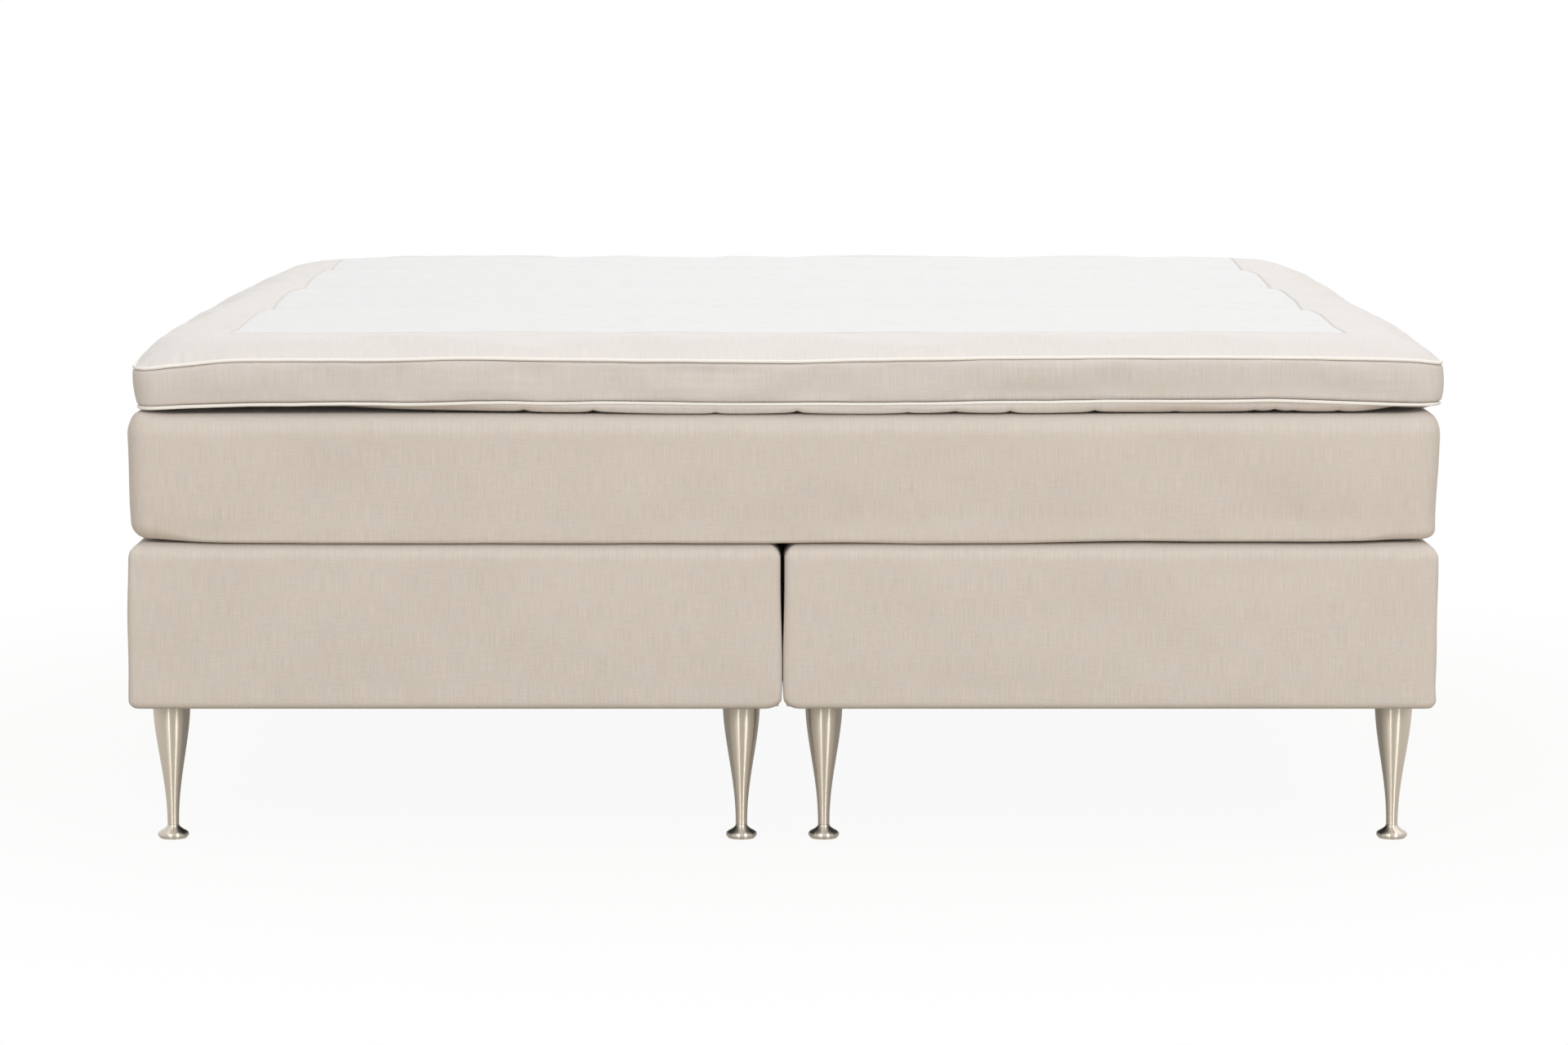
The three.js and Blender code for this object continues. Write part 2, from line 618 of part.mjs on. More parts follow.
// Centre panel: a grid that meets the border's steps and follows the same face
function panelGeometry() {
  const { across, along } = TOPPER_STEPS;
  const panelInset = squareInset(topperPlan, PANEL_BORDER);
  const halfX = topperPlan.halfWidth - panelInset;
  const halfY = topperPlan.halfLength - panelInset;
  const columns = across + 1;
  const layer = columns * (along + 1);
  const points = [];
  [TOPPER_FABRIC, 0].forEach((depth) => {
    for (let row = 0; row <= along; row += 1) {
      for (let column = 0; column < columns; column += 1) {
        const x = mix(-halfX, halfX, column / across);
        const y = mix(-halfY, halfY, row / along);
        const inset = Math.min(topperPlan.halfWidth - Math.abs(x), topperPlan.halfLength - Math.abs(y));
        points.push(new THREE.Vector3(x, y, topFace(x, y, inset) - depth));
      }
    }
  });
  const triangles = [];
  for (let row = 0; row < along; row += 1) {
    for (let column = 0; column < across; column += 1) {
      const a = row * columns + column;
      const b = a + 1;
      const c = b + columns;
      const d = a + columns;
      triangles.push(a, c, b, a, d, c);
      triangles.push(layer + a, layer + b, layer + c, layer + a, layer + c, layer + d);
    }
  }
  const rim = [];
  for (let column = 0; column < across; column += 1) rim.push(column);
  for (let row = 0; row < along; row += 1) rim.push(row * columns + across);
  for (let column = across; column > 0; column -= 1) rim.push(along * columns + column);
  for (let row = along; row > 0; row -= 1) rim.push(row * columns);
  rim.forEach((here, index) => {
    const next = rim[(index + 1) % rim.length];
    triangles.push(here, next, layer + next, here, layer + next, layer + here);
  });
  return meshOf(points, triangles);
}

// Underside: flat where it rests, curving up to the lower piping
function undersideGeometry() {
  const outerEdge = BAND_DRAW_IN + PIPING_INSET + PIPING_RADIUS + GAP;
  const insets = belly_inset_shares.map((share) => outerEdge + share * BELLY_WIDTH);
  const inner = (x, y, inset) => bellyFace(x, y, inset) + TOPPER_FABRIC;
  const below = [...insets].reverse().map((inset) => loop(topperPlan, inset, bellyFace));
  const above = [insets[0], insets[2], insets[3]].map((inset) => loop(topperPlan, inset, inner));
  return closedGeometry([...below, ...above], TOPPER_BOTTOM, TOPPER_BOTTOM + TOPPER_FABRIC);
}

// Foam core: clear of the covers all round, at the lowest that their seams and channels reach
function coreGeometry() {
  const plan = { ...topperPlan, steps: CORE_STEPS };
  const wall = BAND_DRAW_IN + TOPPER_FABRIC + GAP;
  const bottom = TOPPER_BOTTOM + TOPPER_FABRIC + GAP;
  const lowerShoulder = LOWER_SEAM_HEIGHT + TOPPER_FABRIC + 2 * SEAM_WAVE;
  const upperShoulder = UPPER_SEAM_HEIGHT - PIPING_RADIUS - CORNER_DROOP - 2 * SEAM_WAVE;
  const top = UPPER_SEAM_HEIGHT + TOPPER_CROWN - TOPPER_FABRIC - PUFF_DEPTH - GAP;
  const [insetShare, heightShare] = core_shoulder_shares;
  return pad(plan, [
    [wall + BELLY_WIDTH, bottom],
    [wall, lowerShoulder],
    [wall, upperShoulder],
    [CROWN_WIDTH * insetShare, mix(upperShoulder, top, heightShare)],
    [CROWN_WIDTH, top],
  ]);
}

function addTopper() {
  const topper = new THREE.Group();
  const lowerPipingInset = BAND_DRAW_IN + PIPING_INSET;
  topper.position.x = TOPPER_SHIFT;
  bed.add(topper);
  addPiece(topper, 'topper_core', coreGeometry(), foam);
  addPiece(topper, 'topper_side_band', bandGeometry(), beigeFabric);
  addPiece(topper, 'topper_top_border', borderGeometry(), topFabric);
  addPiece(topper, 'topper_centre_panel', panelGeometry(), whiteFabric);
  addPiece(topper, 'topper_underside', undersideGeometry(), beigeFabric);
  addPiece(topper, 'topper_upper_piping', pipingGeometry(PIPING_INSET, upperSeam), creamPiping);
  addPiece(topper, 'topper_lower_piping', pipingGeometry(lowerPipingInset, lowerSeam), creamPiping);
}

addBase('left', -1);
addBase('right', 1);
addJoiningPlates();
addMattress();
addTopper();

export default bed;
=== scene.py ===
"""Box spring bed: two upholstered bases on turned steel legs, one mattress and a piped topper.

Metres, +Z up, X across the bed, Y along it, with the foot end at -Y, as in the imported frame.
"""

import math

import bpy
import numpy as np
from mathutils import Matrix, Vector


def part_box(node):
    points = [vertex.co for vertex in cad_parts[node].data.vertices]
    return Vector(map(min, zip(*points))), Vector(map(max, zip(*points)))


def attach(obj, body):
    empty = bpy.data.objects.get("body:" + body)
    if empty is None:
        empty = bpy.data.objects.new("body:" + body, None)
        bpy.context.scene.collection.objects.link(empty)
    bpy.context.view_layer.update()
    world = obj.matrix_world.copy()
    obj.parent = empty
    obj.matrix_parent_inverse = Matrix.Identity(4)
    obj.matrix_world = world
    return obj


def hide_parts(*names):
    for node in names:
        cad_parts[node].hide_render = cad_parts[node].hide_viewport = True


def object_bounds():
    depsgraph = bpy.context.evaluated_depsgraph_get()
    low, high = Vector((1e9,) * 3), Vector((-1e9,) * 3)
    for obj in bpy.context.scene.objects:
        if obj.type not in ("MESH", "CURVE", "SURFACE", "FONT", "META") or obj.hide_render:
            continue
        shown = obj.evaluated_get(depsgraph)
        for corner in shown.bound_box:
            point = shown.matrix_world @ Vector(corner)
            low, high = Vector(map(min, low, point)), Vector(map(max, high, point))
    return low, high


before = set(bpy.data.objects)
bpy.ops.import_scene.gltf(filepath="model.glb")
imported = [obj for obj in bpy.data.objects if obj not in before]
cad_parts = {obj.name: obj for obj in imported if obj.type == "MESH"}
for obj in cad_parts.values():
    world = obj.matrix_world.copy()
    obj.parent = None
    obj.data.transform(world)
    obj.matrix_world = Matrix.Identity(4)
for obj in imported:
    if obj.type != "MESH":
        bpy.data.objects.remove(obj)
cad_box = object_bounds()

# Upholstered pieces: their rounded edges, leans, hems, tapers and swells
BASE_CORNER = 0.010
BASE_TOP_ROUND = 0.022
BASE_BOTTOM_ROUND = 0.010
BASE_LEAN = 0.0015
BASE_HEM = 0.018
BASE_SEAM_HALF = 0.0015
OUTER_WALL_SWELL = 0.0026
MATTRESS_CORNER = 0.030
MATTRESS_TAPER = 0.004
MATTRESS_HEM = 0.060
MATTRESS_SIDE_SWELL = 0.0046
MATTRESS_SHIFT = 0.0006
FOOT_TOP_PRESS = 0.0035
COVER_THICKNESS = 0.004
COLUMN_STEP = 0.006
RING_LAST_STEP = 0.005

# Edges of the mattress, each with its reach inwards and its rise
SOFT_TOP = (0.021, 0.032)
SOFT_BOTTOM = (0.024, 0.027)
CRISP_BOTTOM = (0.006, 0.006)
END_TOP = (0.024, 0.032)

# Rows of the flat tops, as insets from their rims
BASE_FLAT_INSETS = (0.030, 0.045, 0.075, 0.13, 0.22, 0.33, 0.44)
MATTRESS_FLAT_INSETS = (0.040, 0.055, 0.09, 0.16, 0.28, 0.45, 0.65, 0.86)

# Openings, lifts and dents of the upholstery, and the rows inside the mattress's cover
BASE_LOW_OPENING = 0.0005
BASE_HIGH_OPENING = 0.0023
BASE_INSIDE_OPENING = 0.0002
BASE_WANDER = 0.0006
BASE_INNER_LIFT = 0.0065
BASE_OUTER_LIFT = 0.0025
BASE_SWELL = 0.0007
BASE_DENT = 0.0003
BASE_FOLD = 0.0005
BASE_FOLD_SETBACK = 0.004
MATTRESS_INNER_ROWS = 5
MATTRESS_LEVEL_RIM = 0.045
MATTRESS_CORNER_LIFT = 0.0055
MATTRESS_EDGE_WAVE = 0.0009
MATTRESS_RIGHT_LIFT = 0.0026
MATTRESS_SWELL = 0.0011
MATTRESS_DENT = 0.0004
MATTRESS_BULGE = 0.0012

# Topper: the same forms as its solids, measured from its upper seam
TOPPER_CORNER = 0.032
TOPPER_SPREAD = 0.0015
LEAST_CORNER = 0.001
UPPER_SEAM = 0.074
LOWER_SEAM = 0.0135
TOPPER_CROWN = 0.028
CROWN_WIDTH = 0.140
TOPPER_FABRIC = 0.003
TOPPER_COLUMN_STEP = 0.004
GATHER_DEPTH = 0.0026
TUCK_DEPTH = 0.0042
UNDERSIDE_REACH = 0.13
BAND_DRAW_IN = 0.0038
BAND_BULGE = 0.0032
LOWER_SHIFT = 0.0018
PINCH_RISE = 0.0036
PINCH_DEPTH = 0.003
PIPING_RADIUS = 0.0024
PIPING_INSET = 0.001
PIPING_SIDES = 12
PANEL_BORDER = 0.124
UPPER_DROOPS = (0.0085, 0.007)
LOWER_DROOPS = (0.0060, 0.0012)
SEAM_WAVE = 0.003
SEAM_WAVE_LENGTH = 0.950
SEAM_WAVE_START = 0.020
LEFT_ARCH = 0.0105
LEFT_ARCH_TOP = -0.28
LEFT_LIFT = 0.0025
RIGHT_LIFT = -0.0008
PUFF_PITCH = 0.478
PUFF_SETBACK = 0.201
PUFF_DEPTH = 0.008
PUFF_AT_SEAM = 0.5
PUFF_START = 0.055
CORNER_ROUNDING = 0.0135
SIDE_FULLNESS = 0.0030
CORNER_POWER = 8
CROWN_POWER = 3.2
PUFF_POWER = 0.7
LOWER_WAVE_SHARE = 0.6

# The foot end's seams: places from the bed's middle and heights above the seam's level
FOOT_UPPER_SEAM = (
    (-0.905, -0.0168), (-0.881, -0.0155), (-0.865, -0.0122), (-0.816, -0.0078), (-0.771, -0.0026),
    (-0.690, -0.0022), (-0.563, -0.0026), (-0.458, 0.0002), (-0.163, -0.0033), (0.019, -0.0043),
    (0.260, 0.0002), (0.472, 0.0020), (0.695, 0.0010), (0.755, 0.0002), (0.790, -0.0008),
    (0.863, -0.0024), (0.885, -0.0048), (0.902, -0.0106), (0.912, -0.0125),
)
FOOT_LOWER_SEAM = (
    (-0.905, -0.0105), (-0.881, -0.0098), (-0.800, -0.0058), (-0.720, -0.0036), (-0.600, -0.0026),
    (-0.500, -0.0036), (-0.382, -0.0010), (-0.330, -0.0026), (-0.258, -0.0006), (-0.093, -0.0032),
    (0.142, -0.0032), (0.260, -0.0010), (0.472, 0.0012), (0.600, 0.0012), (0.660, 0.0028),
    (0.720, 0.0010), (0.780, -0.0022), (0.860, -0.0040), (0.890, -0.0036), (0.910, -0.0030),
)

# Rows of the underside, from the lower piping inwards: inset and share of the seam's height where it is
# slack, then inset, share of the seam's height and rise where it is full, and its share of a pinch
UNDERSIDE_ROWS = (
    (BAND_DRAW_IN + PIPING_INSET, 1.0, BAND_DRAW_IN + PIPING_INSET, 1.0, 0.0, 0.0),
    (0.014, 1.0, 0.0030, 1.0, -0.0035, 0.05),
    (0.030, 0.97, 0.0022, 0.0, 0.0026, 0.35),
    (0.050, 0.88, 0.0030, 0.0, -0.0024, 0.8),
    (0.070, 0.66, 0.0062, 0.0, -0.0034, 1.0),
    (0.090, 0.35, 0.0150, 0.0, -0.0028, 1.0),
    (0.110, 0.10, 0.0400, 0.0, -0.0006, 0.7),
    (UNDERSIDE_REACH, 0.0, UNDERSIDE_REACH, 0.0, 0.0, 0.0),
)

# Places along the foot end, from the bed's middle, where the underside is pinched
FOOT_PINCHES = (
    (-0.356, 1.0), (-0.261, 0.9), (-0.093, 0.5), (0.019, 0.9), (0.171, 0.4), (0.236, 0.5), (0.312, 1.0),
    (0.428, 0.8), (0.540, 0.4), (0.648, 0.6), (0.676, 1.0), (0.702, 0.5), (0.764, 0.6),
)

# Camera: metres from the bed's middle, the floor and the foot end, degrees down, and lens in millimetres
CAMERA_ASIDE = 0.002
CAMERA_HEIGHT = 1.204
CAMERA_DISTANCE = 6.543
CAMERA_TILT = 6.57
CAMERA_LENS = 110.0


def linear(red, green, blue):
    """A colour as Blender holds it, from its 0 to 255 values."""
    def channel(value):
        share = value / 255
        return share / 12.92 if share <= 0.04045 else ((share + 0.055) / 1.055) ** 2.4
    return (channel(red), channel(green), channel(blue), 1.0)


def corners_of(node):
    low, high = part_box(node)
    return np.array(low), np.array(high)


WAVES = 28


def undulation(points, size, seed):
    """Smooth random heights, mostly between -1 and 1, on hills about size across."""
    draw = np.random.default_rng(seed)
    ways = draw.normal(size=(WAVES, 3))
    ways /= np.linalg.norm(ways, axis=1)[:, None]
    lengths = np.broadcast_to(np.asarray(size, float), (3,))
    pace = draw.uniform(0.5, 1.15, WAVES)
    phases = draw.uniform(0, 2 * math.pi, WAVES)
    heights = np.zeros(points.shape[:-1])
    for way, rate, phase in zip(ways, pace, phases):
        heights += np.sin((points / lengths) @ (way * rate * 2 * math.pi) + phase)
    return heights / math.sqrt(WAVES)


def placed(name, data):
    """A new object with the given data, in the scene."""
    thing = bpy.data.objects.new(name, data)
    bpy.context.scene.collection.objects.link(thing)
    return thing


def smooth(low, high, value):
    """0 on low's side, 1 on high's side and a smooth step between."""
    share = np.clip((value - low) / (high - low), 0, 1)
    return share * share * (3 - 2 * share)


def bell(value, middle, width):
    return np.exp(-(((value - middle) / width) ** 2))


def along_loop(rim):
    """Distance of each point of a closed loop from its first, and the whole way round at the end."""
    steps = np.linalg.norm(np.roll(rim, -1, axis=0) - rim, axis=1)
    return np.concatenate([[0], np.cumsum(steps)])


class Plan:
    """A rounded rectangle seen from above, with points along its sides and corners."""

    def __init__(self, low, high, corner, step, corner_steps=8, least_corner=None):
        self.middle = (low[:2] + high[:2]) / 2
        self.half = (high[:2] - low[:2]) / 2
        self.corner = corner
        self.least_corner = corner * 0.2 if least_corner is None else least_corner
        self.counts = np.maximum(np.round(2 * (self.half - corner) / step).astype(int), 1)
        self.corner_steps = corner_steps
        self.along = along_loop(self.outline(0.0))

    def outline(self, inset):
        """Points anticlockwise from the front right corner, at an inset from the rim."""
        radius = max(self.corner - inset, self.least_corner)
        centre = self.half - inset - radius
        points = []
        for corner, signs in enumerate(((1, -1), (1, 1), (-1, 1), (-1, -1))):
            angles = (corner - 1 + np.arange(self.corner_steps + 1) / self.corner_steps) * math.pi / 2
            arc = centre * signs + radius * np.column_stack([np.cos(angles), np.sin(angles)])
            along_y = corner % 2 == 0
            count = self.counts[1 if along_y else 0]
            start = arc[-1]
            end = start * ((1, -1) if along_y else (-1, 1))
            points += [*arc[:-1], *(start + (end - start) * (step / count) for step in range(count))]
        return np.array(points)

    def loop(self, inset, height):
        """One loop of a skin; height is a number or a function of x, y and inset."""
        flat = self.outline(inset)
        level = height(flat[:, 0], flat[:, 1], inset) if callable(height) else np.full(len(flat), height)
        return np.column_stack([flat + self.middle, level])

    def loops(self, pairs):
        return np.array([self.loop(inset, height) for inset, height in pairs])


def pushed(grid, amount):
    """A skin moved outwards. Its columns run anticlockwise, and its rows run up outside."""
    across = np.roll(grid, -1, axis=1) - np.roll(grid, 1, axis=1)
    normals = np.cross(across, np.gradient(grid, axis=0))
    normals /= np.maximum(np.linalg.norm(normals, axis=2, keepdims=True), 1e-12)
    return grid + normals * amount[..., None]


def mesh_object(name, points, faces, corner_uvs):
    """A smooth mesh whose map gives each face corner's place on the cloth, in metres."""
    mesh = bpy.data.meshes.new(name)
    mesh.from_pydata([tuple(p) for p in points], [], faces)
    layer = mesh.uv_layers.new(name="cloth")
    layer.data.foreach_set("uv", np.asarray(corner_uvs, np.float32).ravel())
    mesh.polygons.foreach_set("use_smooth", [True] * len(mesh.polygons))
    mesh.update()
    return placed(name, mesh)


def skin(name, grid, along, ring=False, caps=(), level_rows=0):
    """A piece from a grid of loops. A ring's last loop joins its first; others have a cap at each end.

    caps gives the heights of the caps' middles. The last level_rows are mapped from above.
    """
    rows, columns = grid.shape[:2]
    points = list(grid.reshape(-1, 3))
    steps = np.linalg.norm(np.diff(grid, axis=0), axis=2).mean(axis=1)
    down = np.concatenate([[0], np.cumsum(steps)])
    faces, uvs = [], []
    for row in range(rows if ring else rows - 1):
        here, after = row * columns, ((row + 1) % rows) * columns
        low = down[row]
        high = down[row + 1] if row + 1 < rows else low + RING_LAST_STEP
        for column in range(columns):
            following = (column + 1) % columns
            corners = (here + column, here + following, after + following, after + column)
            faces.append(corners)
            if row >= rows - level_rows:
                uvs.extend(points[corner][:2] for corner in corners)
            else:
                left, right = along[column], along[column + 1]
                uvs.extend(((left, low), (right, low), (right, high), (left, high)))
    for row, middle_height in zip((0, rows - 1), caps):
        middle = len(points)
        points.append(np.array([*grid[row, :, :2].mean(axis=0), middle_height]))
        for column in range(columns):
            pair = (row * columns + column, row * columns + (column + 1) % columns)
            corners = (middle, *(pair if row else pair[::-1]))
            faces.append(corners)
            uvs.extend(points[corner][:2] for corner in corners)
    return mesh_object(name, points, faces, uvs)


def quarter(centre_inset, centre_height, reach, rise, start, steps):
    """Pairs of inset and height round a quarter ellipse, from the start angle."""
    angles = start + np.linspace(0, math.pi / 2, steps + 1)
    return [(centre_inset - reach * math.cos(a), centre_height + rise * math.sin(a)) for a in angles]


def wall(first, last, steps):
    """Pairs between two pairs of inset and height, without the ends."""
    shares = np.linspace(0, 1, steps + 1)[1:-1]
    return [tuple(np.array(first) + (np.array(last) - np.array(first)) * share) for share in shares]


# Cloth that settles between its seams

SETTLING_FRAMES = 16
SETTLING_SPACING = 0.022
SETTLING_LIMIT = 0.004
SETTLING_MANY_ROWS = 30
PADDING_HOLD = 0.05
WALL_GROWTH = 0.0003
BAND_GROWTH = 0.0012
BORDER_GROWTH = 0.0015
BELLY_GROWTH = 0.0008
CLOTH_SETTINGS = {"quality": 6, "mass": 0.25, "air_damping": 4.0, "tension_stiffness": 30.0,
                  "compression_stiffness": 30.0, "shear_stiffness": 12.0, "bending_stiffness": 6.0,
                  "vertex_group_mass": "hold", "pin_stiffness": 1.0}


def spline_weights(places, count, spacing):
    """How much each of count evenly spaced samples round a loop gives to each place."""
    gap = np.abs(places[:, None] - np.arange(count)[None, :] * spacing)
    gap = np.minimum(gap, count * spacing - gap) / spacing
    near = 2 / 3 - gap ** 2 + gap ** 3 / 2
    far = np.clip(2 - gap, 0, None) ** 3 / 6
    return np.where(gap < 1, near, far)


def relaxed(start, hold, growth):
    """Where the points of a closed skin of cloth come to rest, each row held by its share."""
    rows, count = start.shape[:2]
    steps = [(column, (column + 1) % count) for column in range(count)]
    faces = [(low + a, low + b, low + count + b, low + count + a)
             for low in range(0, (rows - 1) * count, count) for a, b in steps]
    mesh = bpy.data.meshes.new("settling")
    mesh.from_pydata([tuple(p) for p in start.reshape(-1, 3)], [], faces)
    cloth = placed("settling", mesh)
    group = cloth.vertex_groups.new(name="hold")
    for row in range(rows):
        group.add(list(range(row * count, (row + 1) * count)), float(hold[row]), "REPLACE")
    modifier = cloth.modifiers.new("cloth", "CLOTH")
    for name, value in CLOTH_SETTINGS.items():
        setattr(modifier.settings, name, value)
    modifier.settings.shrink_min = -growth
    modifier.settings.effector_weights.gravity = 0.0
    modifier.point_cache.frame_start = 1
    modifier.point_cache.frame_end = SETTLING_FRAMES
    for frame_number in range(1, SETTLING_FRAMES + 1):
        bpy.context.scene.frame_set(frame_number)
    after = cloth.evaluated_get(bpy.context.evaluated_depsgraph_get()).data
    moved = np.empty(rows * count * 3, np.float32)
    after.vertices.foreach_get("co", moved)
    bpy.data.objects.remove(cloth)
    bpy.data.meshes.remove(mesh)
    bpy.context.scene.frame_set(1)
    return moved.reshape(rows, count, 3).astype(float)


def settled(grid, sewn, growth):
    """How far each point of a skin moves when its cloth, a little larger than its seams allow, settles.

    sewn gives the number of rows held fast at the start and at the end. Padding holds the rest softly.
    The cloth is a coarse copy of the skin, and its movement is spread smoothly over all columns.
    """
    all_rows, columns = grid.shape[:2]
    every = 2 if all_rows > SETTLING_MANY_ROWS else 1
    kept = np.unique(np.append(np.arange(0, all_rows, every), all_rows - 1))
    grid = grid[kept]
    count = int(round(along_loop(grid[len(kept) // 2])[-1] / SETTLING_SPACING))
    spacing = columns / count
    places = np.arange(count) * spacing
    before = np.floor(places).astype(int)
    share = (places - before)[None, :, None]
    start = grid[:, before] * (1 - share) + grid[:, (before + 1) % columns] * share
    hold = np.where((kept < sewn[0]) | (kept >= all_rows - sewn[1]), 1.0, PADDING_HOLD)
    shift = relaxed(start, hold, growth) - start
    reach = np.linalg.norm(shift, axis=2, keepdims=True)
    shift *= np.minimum(1, SETTLING_LIMIT / np.maximum(reach, 1e-9))
    weights = spline_weights(np.arange(columns, dtype=float), count, spacing)
    shift = np.einsum("cj,rjk->rck", weights, shift)
    row = np.arange(all_rows)
    above = np.clip(np.searchsorted(kept, row), 1, len(kept) - 1)
    share = ((row - kept[above - 1]) / (kept[above] - kept[above - 1]))[:, None, None]
    return shift[above - 1] * (1 - share) + shift[above] * share


# Materials


class Graph:
    """A node tree, built by short calls."""

    def __init__(self, tree):
        self.tree = tree
        tree.nodes.clear()

    def put(self, socket, value):
        if isinstance(value, bpy.types.NodeSocket):
            self.tree.links.new(value, socket)
        else:
            socket.default_value = value

    def node(self, kind, *values, **inputs):
        """A new node: the values go to its first inputs and the others to the inputs named."""
        made = self.tree.nodes.new("ShaderNode" + kind)
        for socket, value in zip(made.inputs, values):
            self.put(socket, value)
        for name, value in inputs.items():
            self.put(made.inputs[name.replace("_", " ")], value)
        return made

    def math(self, operation, first, second=0.0, third=0.0):
        node = self.node("Math", first, second, third)
        node.operation = operation
        return node.outputs[0]


class Shader(Graph):
    """A material with one principled surface."""

    def __init__(self, name):
        self.material = bpy.data.materials.new(name)
        self.material.use_nodes = True
        super().__init__(self.material.node_tree)
        self.surface = self.node("BsdfPrincipled")
        self.node("OutputMaterial", self.surface.outputs["BSDF"])

    def finish(self, **values):
        for name, value in values.items():
            self.put(self.surface.inputs[name.replace("_", " ")], value)
        return self.material

    def cloth(self, color, roughness, sheen, sheen_roughness, specular, relief):
        """The finished material of a cloth; relief is the height, depth and strength of its bump."""
        return self.finish(Base_Color=color, Roughness=roughness, Sheen_Weight=sheen,
                           Sheen_Roughness=sheen_roughness, Specular_IOR_Level=specular,
                           Normal=self.bump(*relief))

    def mapped(self, scale, source="cloth", turn=0.0):
        """Coordinates in metres times scale, from the cloth's map or from the object."""
        if source == "cloth":
            coordinates = self.node("UVMap")
            coordinates.uv_map = "cloth"
            vector = coordinates.outputs[0]
        else:
            vector = self.node("TexCoord").outputs["Object"]
        return self.node("Mapping", Vector=vector, Rotation=(0, 0, turn), Scale=scale).outputs[0]

    def noise(self, vector, detail=2.0, roughness=0.5, distortion=0.0):
        return self.node("TexNoise", Vector=vector, Scale=1.0, Detail=detail, Roughness=roughness,
                         Distortion=distortion).outputs["Fac"]

    def voronoi(self, vector):
        return self.node("TexVoronoi", Vector=vector, Scale=1.0).outputs["Distance"]

    def split(self, vector):
        return self.node("SeparateXYZ", vector).outputs

    def ramp(self, share, *stops):
        """A colour that passes through the stops, each a place and a colour's 0 to 255 values."""
        node = self.node("ValToRGB", share)
        elements = node.color_ramp.elements
        while len(elements) < len(stops):
            elements.new(0.5)
        for element, (place, *color) in zip(elements, stops):
            element.position = place
            element.color = linear(*color)
        return node.outputs["Color"]

    def toned(self, color, tone):
        """A colour times a grey tone."""
        grey = self.node("CombineColor", tone, tone, tone).outputs[0]
        node = self.node("Mix")
        node.data_type = "RGBA"
        node.blend_type = "MULTIPLY"
        for index, value in ((0, 1.0), (6, color), (7, grey)):
            self.put(node.inputs[index], value)
        return node.outputs[2]

    def bump(self, height, distance, strength):
        return self.node("Bump", Height=height, Distance=distance, Strength=strength).outputs[0]


YARN = 0.0009
KNIT_RIB = 0.0012
KNIT_LOOP = 0.0016
LINING_POINT = 0.0022


def woven(name, warm, cool, contrast=1.0):
    """Linen-look plain weave of flecked yarns, between a warm and a cool shade of one colour."""
    s = Shader(name)
    u, v, _ = s.split(s.mapped((math.pi / YARN,) * 3))
    weave = s.math("MULTIPLY_ADD", s.math("MULTIPLY", s.math("SINE", u), s.math("SINE", v)), 0.5, 0.5)
    upright = s.noise(s.mapped((820, 26, 1)))
    level = s.noise(s.mapped((30, 800, 1)))
    clouds = s.noise(s.mapped((9, 6, 1)), 3.0, 0.6)
    shade = s.ramp(s.noise(s.mapped((48, 30, 1)), 3.0, 0.65), (0.30, *warm), (0.70, *cool))
    tone = s.math("MULTIPLY_ADD", upright, 0.28 * contrast, 0.96 - 0.14 * contrast)
    for flecks, share in ((level, 0.14), (clouds, 0.08)):
        tone = s.math("ADD", tone, s.math("MULTIPLY_ADD", flecks, share * contrast, -share / 2 * contrast))
    tone = s.math("ADD", tone, s.math("MULTIPLY", weave, 0.04))
    height = s.math("ADD", weave, s.math("ADD", upright, level))
    return s.cloth(s.toned(shade, tone), 0.92, 0.25, 0.45, 0.2, (height, 0.0003, 0.6))


def white_knit():
    """Smooth white knit: fine ribs of small loops."""
    s = Shader("white_knit")
    u, v, _ = s.split(s.mapped((math.pi / KNIT_RIB, math.pi / KNIT_LOOP, 1)))
    ribs = s.math("ABSOLUTE", s.math("SINE", u))
    leaning = s.math("ADD", v, s.math("MULTIPLY", ribs, 1.5))
    stitch = s.math("MULTIPLY", ribs, s.math("MULTIPLY_ADD", s.math("SINE", leaning), 0.3, 0.5))
    mottle = s.noise(s.mapped((30, 22, 1)), 3.0, 0.6)
    color = s.ramp(mottle, (0.2, 215, 215, 214), (0.8, 221, 221, 220))
    height = s.math("ADD", stitch, s.math("MULTIPLY", mottle, 0.6))
    return s.cloth(color, 0.88, 0.2, 0.5, 0.2, (height, 0.0002, 0.6))


def piping_cloth():
    """Cream twill wrapped on the bias round a cord."""
    s = Shader("piping_cloth")
    twill = s.math("SINE", s.split(s.mapped((2600, 2600, 1), turn=math.radians(45)))[0])
    tone = s.math("ADD", s.math("MULTIPLY", twill, 0.07), s.noise(s.mapped((300, 600, 1))))
    color = s.ramp(tone, (0.15, 230, 225, 218), (0.8, 241, 238, 233))
    return s.cloth(color, 0.8, 0.15, 0.4, 0.25, (twill, 0.00008, 0.5))


def dark_lining():
    """Dark spunbonded cloth, point-bonded in a fine grid, with fibres that show."""
    s = Shader("dark_lining")
    u, v, _ = s.split(s.mapped((math.pi / LINING_POINT,) * 3, turn=math.radians(45)))
    crossing = s.math("ABSOLUTE", s.math("MULTIPLY", s.math("SINE", u), s.math("SINE", v)))
    dots = s.math("POWER", crossing, 3.0)
    fibres = s.noise(s.mapped((500, 260, 1)), 4.0, 0.7, 1.5)
    color = s.ramp(fibres, (0.25, 40, 39, 38), (0.75, 68, 66, 63))
    height = s.math("SUBTRACT", fibres, s.math("MULTIPLY", dots, 0.8))
    return s.cloth(color, 0.85, 0.1, 0.5, 0.3, (height, 0.0003, 0.8))


